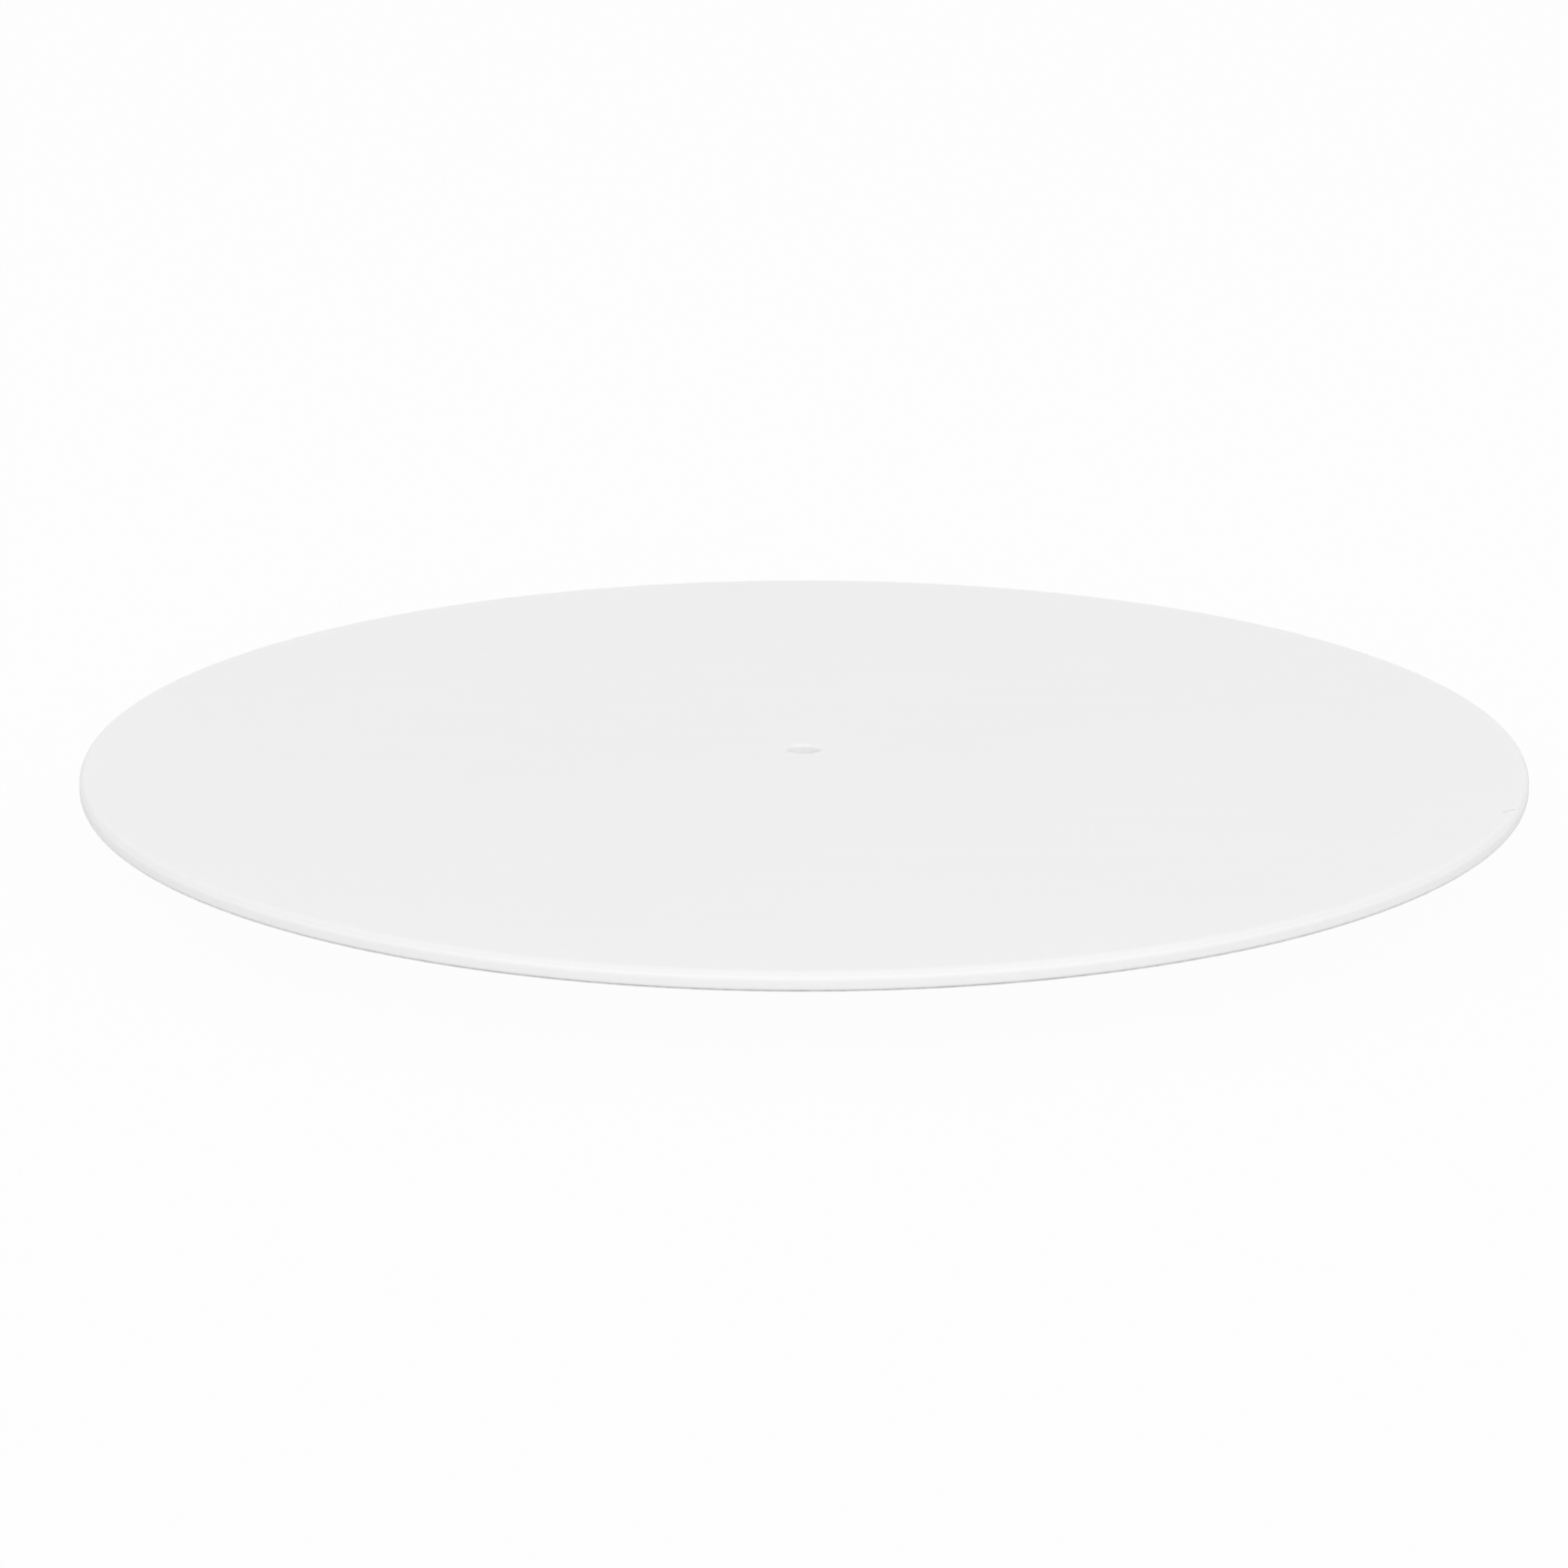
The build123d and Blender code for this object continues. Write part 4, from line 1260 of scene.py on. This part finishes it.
class TURNTABLE_OT_make_pivot_screw(bpy.types.Operator):
    """Makes the shoulder screw that the carrier turns about"""

    bl_idname = "turntable.make_pivot_screw"
    bl_label = "Pivot Screw"

    def execute(self, context):
        settings = context.scene.turntable_pivot
        _, head_radius, low, high = middle_of("pivot_screw")
        washer_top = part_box("pivot_washer")[1].z
        seat = high - settings.head_height
        angle = even_angles(96)
        lead_in = 0.6 * MM
        undercut = washer_top - 0.6 * MM
        level = np.arange(low + lead_in, undercut, settings.pitch / 14)[:, None]
        fade = np.clip((level - low - 0.3 * MM) / lead_in, 0, 1) * np.clip((undercut - level) / lead_in, 0, 1)
        crest = settings.core_radius + (settings.thread_radius - settings.core_radius) * fade
        thread = thread_reach(angle, level, settings.core_radius, crest, settings.pitch)
        shoulder = rounded_section(
            [
                (settings.core_radius, undercut, 0),
                (settings.core_radius, washer_top, 0),
                (settings.shoulder_radius, washer_top, 0.2 * MM),
                (settings.shoulder_radius, seat, 0),
                (head_radius, seat, 0.15 * MM),
                (head_radius, high, 0.7 * MM),
                (1.5 * settings.socket_flat, high, 0),
            ],
            closed=False,
        )
        socket = hexagon_reach(angle, settings.socket_flat)
        ease, drill_point = 0.15 * MM, 0.4 * MM
        radius, height = piled(
            angle,
            (0, low),
            (settings.core_radius - 0.35 * MM, low),
            (thread, level),
            as_layer(shoulder),
            (socket + ease, high),
            (socket, high - ease),
            (socket, high - settings.socket_depth),
            (0, high - settings.socket_depth - drill_point),
        )
        screw = new_piece("shoulder_screw", *wound(radius, height, angle, closed=False), 35)
        place(screw, make_turned_steel(settings, "turned_screw_steel"), "screw_steel", "pivot_screw")
        return {"FINISHED"}


class TURNTABLE_OT_make_nut(bpy.types.Operator):
    """Makes the hexagon nut, threaded to fit the pivot screw"""

    bl_idname = "turntable.make_nut"
    bl_label = "Pivot Nut"

    def execute(self, context):
        settings = context.scene.turntable_pivot
        _, _, low, high = middle_of("pivot_nut")
        angle = even_angles(96)
        outline = hexagon_reach(angle, settings.nut_flat)
        slope = 0.6 * (outline - settings.nut_flat)
        face = 0.97 * settings.nut_flat
        dish, bare, ease = 0.5 * MM, 0.02 * MM, 0.05 * MM
        level = np.arange(low + dish, high - dish, settings.pitch / 14)[:, None]
        core = settings.core_radius + settings.thread_gap
        crest = settings.thread_radius + settings.thread_gap
        bore = thread_reach(angle, level, core, crest, settings.pitch)
        mouth = crest + 0.1 * MM
        radius, height = piled(
            angle,
            (bore, level),
            (mouth, high - ease),
            (mouth + ease, high),
            (face, high),
            (outline, high - slope - bare),
            (outline, low + slope + bare),
            (face, low),
            (mouth + ease, low),
            (mouth, low + ease),
        )
        nut = new_piece("hexagon_nut", *wound(radius, height, angle), 35)
        place(nut, make_turned_steel(settings, "turned_nut_steel"), "screw_steel", "pivot_nut")
        return {"FINISHED"}


class TURNTABLE_OT_make_washer(bpy.types.Operator):
    """Makes the washer between the shoulder and the base, its upper edge rolled over by the punch"""

    bl_idname = "turntable.make_washer"
    bl_label = "Pivot Washer"

    def execute(self, context):
        settings = context.scene.turntable_pivot
        centre, radius, low, high = middle_of("pivot_washer")
        bore = settings.thread_radius + 0.2 * MM
        section = rounded_section(
            [
                (bore, low, 0.08 * MM),
                (radius, low, 0.08 * MM),
                (radius, high, 0.3 * MM),
                (bore, high, 0.2 * MM),
            ]
        )
        washer = new_piece("flat_washer", *turned(section, centre, columns=96))
        place(washer, make_turned_steel(settings, "washer_steel"), "screw_steel", "pivot_washer")
        return {"FINISHED"}


class TURNTABLE_OT_make_bush(bpy.types.Operator):
    """Makes the flanged bush that turns on the pivot screw's shoulder"""

    bl_idname = "turntable.make_bush"
    bl_label = "Hub Bush"

    def execute(self, context):
        settings = context.scene.turntable_pivot
        centre, flange, low, high = middle_of("hub_bush")
        bore = settings.shoulder_radius + settings.thread_gap
        sleeve = context.scene.turntable_mouldings.bush_hole
        shelf = high - settings.bush_flange
        section = rounded_section(
            [
                (bore, low, 0.3 * MM),
                (sleeve, low, 0.3 * MM),
                (sleeve, shelf, 0.12 * MM),
                (flange, shelf, 0.12 * MM),
                (flange, high, 0.25 * MM),
                (bore, high, 0.3 * MM),
            ]
        )
        bush = new_piece("flanged_bush", *turned(section, centre, columns=96))
        acetal = moulded_plastic("bush_acetal", tuple(settings.bush_colour), 0.33, 0.004 * MM)
        place(bush, acetal, "acetal", "hub_bush")
        return {"FINISHED"}


# ---------------------------------------------------------------- hub cap
class CapSettings(bpy.types.PropertyGroup):
    """Sizes and finish of the hub cap."""

    flange_thickness: bpy.props.FloatProperty(
        name="Flange thickness", description="Thickness of the cap's flange", default=0.9 * MM,
        unit="LENGTH")
    ring_outer: bpy.props.FloatProperty(
        name="Ring outer radius", description="Radius over the press-in ring", default=10.95 * MM,
        unit="LENGTH")
    ring_inner: bpy.props.FloatProperty(
        name="Ring inner radius", description="Radius inside the press-in ring", default=9.25 * MM,
        unit="LENGTH")
    spigot_radius: bpy.props.FloatProperty(
        name="Spigot radius", description="Radius of the spigot that centres the disc", default=4.4 * MM,
        unit="LENGTH")
    spigot_round: bpy.props.FloatProperty(
        name="Spigot rounding", description="Radius of the spigot's upper edge", default=0.6 * MM,
        unit="LENGTH")
    colour: bpy.props.FloatVectorProperty(
        name="Cap colour", description="White of the moulded cap", default=(0.80, 0.80, 0.79),
        subtype="COLOR", size=3)


class TURNTABLE_OT_make_hub_cap(bpy.types.Operator):
    """Makes the cap over the pivot, with the spigot that centres the disc"""

    bl_idname = "turntable.make_hub_cap"
    bl_label = "Hub Cap"

    def execute(self, context):
        settings = context.scene.turntable_cap
        centre, flange, low, high = middle_of("hub_cap")
        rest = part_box("carrier_plate")[1].z
        flange_top = rest + settings.flange_thickness
        fine = 0.15 * MM
        section = rounded_section(
            [
                (0, rest, 0),
                (settings.ring_inner, rest, fine),
                (settings.ring_inner, low, fine),
                (settings.ring_outer, low, 2 * fine),
                (settings.ring_outer, rest, fine),
                (flange, rest, fine),
                (flange, flange_top, 2 * fine),
                (settings.spigot_radius, flange_top, 2 * fine),
                (settings.spigot_radius, high, settings.spigot_round),
                (0, high, 0),
            ],
            closed=False,
        )
        cap = new_piece("spigot_cap", *turned(section, centre, columns=96, closed=False))
        plastic = moulded_plastic("cap_plastic", tuple(settings.colour), 0.40, 0.006 * MM)
        place(cap, plastic, "white_abs", "hub_cap")
        return {"FINISHED"}


# ---------------------------------------------------------------- stage
def backdrop_white(tree, kind, level):
    """The even white that the camera sees, and the socket that is 1 for what the camera sees itself."""
    white = add_node(tree, kind, {"Color": (1, 1, 1, 1), "Strength": level})
    return white.outputs[0], add_node(tree, "LightPath", {}).outputs["Is Camera Ray"]


def make_floor_material(settings):
    """Matt pale paint, most of which the camera sees as the backdrop's white. The floor is clear from
    below, so that it never hides the underside."""
    material, tree, paint = new_material("pale_floor", {"Roughness": 0.9, "Specular IOR Level": 0.0})
    paint.inputs["Base Color"].default_value = (*settings.floor_colour, 1)
    white, seen = backdrop_white(tree, "Emission", settings.backdrop_level)
    share = calculated(tree, "MULTIPLY", seen, settings.backdrop_share)
    front = add_node(tree, "MixShader", {0: share, 1: paint.outputs[0], 2: white}).outputs[0]
    back = add_node(tree, "NewGeometry", {}).outputs["Backfacing"]
    clear = add_node(tree, "BsdfTransparent", {}).outputs[0]
    both = add_node(tree, "MixShader", {0: back, 1: front, 2: clear}).outputs[0]
    tree.links.new(both, tree.nodes["Material Output"].inputs["Surface"])
    return material


def make_sky(settings):
    """Even white light from all round, in front of which the camera sees the backdrop's white."""
    world = bpy.data.worlds.new("soft_sky")
    world.use_nodes = True
    tree = world.node_tree
    sky = tree.nodes["Background"]
    sky.inputs["Color"].default_value = (1, 1, 1, 1)
    sky.inputs["Strength"].default_value = settings.sky_level
    white, seen = backdrop_white(tree, "Background", settings.backdrop_level)
    mix = add_node(tree, "MixShader", {0: seen, 1: sky.outputs[0], 2: white}).outputs[0]
    tree.links.new(mix, tree.nodes["World Output"].inputs["Surface"])
    return world


def add_softbox(name, place, size, power):
    """A rectangular soft light at a place, turned to face the object."""
    lamp = bpy.data.lights.new(name, "AREA")
    lamp.shape = "RECTANGLE"
    lamp.size, lamp.size_y = size
    lamp.energy = power
    box = bpy.data.objects.new(name, lamp)
    bpy.context.scene.collection.objects.link(box)
    box.location = place
    box.rotation_euler = Vector(place).to_track_quat("Z", "Y").to_euler()


class StageSettings(bpy.types.PropertyGroup):
    """Sizes and levels of the floor, the lights and the camera."""

    camera_elevation: bpy.props.FloatProperty(
        name="Camera elevation", description="Height angle of the camera seen from the disc's centre",
        default=radians(15.6), subtype="ANGLE")
    camera_distance: bpy.props.FloatProperty(
        name="Camera distance", description="Distance from the disc's centre, in disc radii", default=6.89)
    camera_lens: bpy.props.FloatProperty(
        name="Lens", description="Focal length for a 36 mm sensor, in millimetres", default=113.6)
    aim_left: bpy.props.FloatProperty(
        name="Aim left", description="How far left of the disc's centre the camera aims",
        default=radians(0.229), subtype="ANGLE")
    aim_down: bpy.props.FloatProperty(
        name="Aim down", description="How far below the disc's centre the camera aims",
        default=radians(0.41), subtype="ANGLE")
    floor_reach: bpy.props.FloatProperty(
        name="Floor reach", description="Radius of the round floor", default=12.0, unit="LENGTH")
    floor_opening: bpy.props.FloatProperty(
        name="Floor opening", description="Radius of the opening that lets light reach under the base",
        default=97 * MM, unit="LENGTH")
    floor_colour: bpy.props.FloatVectorProperty(
        name="Floor colour", description="Paint colour of the floor", default=(0.72, 0.72, 0.72),
        subtype="COLOR", size=3)
    backdrop_level: bpy.props.FloatProperty(
        name="Backdrop level", description="Brightness of the cut-out white behind the object", default=0.992)
    backdrop_share: bpy.props.FloatProperty(
        name="Backdrop share", description="How much the white covers the floor's shadows", default=0.98)
    sky_level: bpy.props.FloatProperty(
        name="Sky level", description="Strength of the even light from all round", default=0.89)
    key_power: bpy.props.FloatProperty(
        name="Key power", description="Power of the soft light above the front", default=72.0, unit="POWER")
    key_place: bpy.props.FloatVectorProperty(
        name="Key place", description="Place of the soft light above the front", default=(0.25, -3.0, 2.6),
        subtype="TRANSLATION", unit="LENGTH", size=3)
    key_size: bpy.props.FloatVectorProperty(
        name="Key size", description="Width and height of the soft light above the front",
        default=(9.0, 1.8), unit="LENGTH", size=2)
    back_power: bpy.props.FloatProperty(
        name="Back power", description="Power of the wide soft light behind", default=6.0, unit="POWER")
    back_place: bpy.props.FloatVectorProperty(
        name="Back place", description="Place of the wide soft light behind", default=(0.0, 4.0, 0.7),
        subtype="TRANSLATION", unit="LENGTH", size=3)
    back_size: bpy.props.FloatVectorProperty(
        name="Back size", description="Width and height of the wide soft light behind", default=(6.0, 1.2),
        unit="LENGTH", size=2)


class TURNTABLE_OT_set_stage(bpy.types.Operator):
    """Sets the pale floor, the soft studio light and the camera"""

    bl_idname = "turntable.set_stage"
    bl_label = "Set Stage"

    def execute(self, context):
        settings = context.scene.turntable_stage
        edges = np.array([(settings.floor_reach, 0.0), (settings.floor_opening, 0.0)])
        floor = new_piece("floor", *turned(edges, columns=128, closed=False), solid=False)
        floor.data.materials.append(make_floor_material(settings))
        context.scene.world = make_sky(settings)
        context.scene.view_settings.view_transform = "Standard"
        add_softbox("key_softbox", settings.key_place, settings.key_size, settings.key_power)
        add_softbox("back_softbox", settings.back_place, settings.back_size, settings.back_power)
        target = Vector((0, 0, DISC_TOP))
        height = settings.camera_elevation
        back = Vector((0, -cos(height), sin(height)))
        lens = bpy.data.cameras.new("camera")
        lens.lens = settings.camera_lens
        lens.sensor_width = 36
        lens.clip_end = 100
        camera = bpy.data.objects.new("camera", lens)
        context.scene.collection.objects.link(camera)
        turn = (-back).to_track_quat("-Z", "Y").to_matrix().to_4x4()
        turn = turn @ Matrix.Rotation(settings.aim_left, 4, "Y")
        turn = turn @ Matrix.Rotation(-settings.aim_down, 4, "X")
        place_of_camera = target + back * settings.camera_distance * DISC_RADIUS
        camera.matrix_world = Matrix.Translation(place_of_camera) @ turn
        context.scene.camera = camera
        return {"FINISHED"}


# ---------------------------------------------------------------- panel and registration
class TURNTABLE_PT_pieces(bpy.types.Panel):
    """Lists the pieces of the turntable"""

    bl_idname = "TURNTABLE_PT_pieces"
    bl_label = "Lazy Susan Turntable"
    bl_space_type = "VIEW_3D"
    bl_region_type = "UI"
    bl_category = "Turntable"

    def draw(self, context):
        for operator in OPERATORS:
            self.layout.operator(operator.bl_idname)


OPERATORS = (
    TURNTABLE_OT_make_disc,
    TURNTABLE_OT_make_base,
    TURNTABLE_OT_make_carrier,
    TURNTABLE_OT_make_feet,
    TURNTABLE_OT_make_pads,
    TURNTABLE_OT_make_races,
    TURNTABLE_OT_make_cage,
    TURNTABLE_OT_make_balls,
    TURNTABLE_OT_make_race_screws,
    TURNTABLE_OT_make_bush,
    TURNTABLE_OT_make_washer,
    TURNTABLE_OT_make_pivot_screw,
    TURNTABLE_OT_make_nut,
    TURNTABLE_OT_make_hub_cap,
    TURNTABLE_OT_set_stage,
)
SETTINGS = {
    "turntable_disc": DiscSettings,
    "turntable_mouldings": MouldingSettings,
    "turntable_feet": FootSettings,
    "turntable_pads": PadSettings,
    "turntable_bearing": BearingSettings,
    "turntable_screws": ScrewSettings,
    "turntable_pivot": PivotSettings,
    "turntable_cap": CapSettings,
    "turntable_stage": StageSettings,
}


def register():
    """Registers the settings, the operators and the panel, and gives the scene its settings."""
    for group in SETTINGS.values():
        bpy.utils.register_class(group)
    for operator in OPERATORS:
        bpy.utils.register_class(operator)
    bpy.utils.register_class(TURNTABLE_PT_pieces)
    for name, group in SETTINGS.items():
        setattr(bpy.types.Scene, name, bpy.props.PointerProperty(type=group))


def unregister():
    """Takes back what register did, in the opposite order."""
    for name in SETTINGS:
        delattr(bpy.types.Scene, name)
    bpy.utils.unregister_class(TURNTABLE_PT_pieces)
    for operator in reversed(OPERATORS):
        bpy.utils.unregister_class(operator)
    for group in reversed(SETTINGS.values()):
        bpy.utils.unregister_class(group)


def main():
    """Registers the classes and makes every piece."""
    register()
    for operator in OPERATORS:
        group, name = operator.bl_idname.split(".")
        getattr(getattr(bpy.ops, group), name)()


if __name__ == "__main__":
    main()
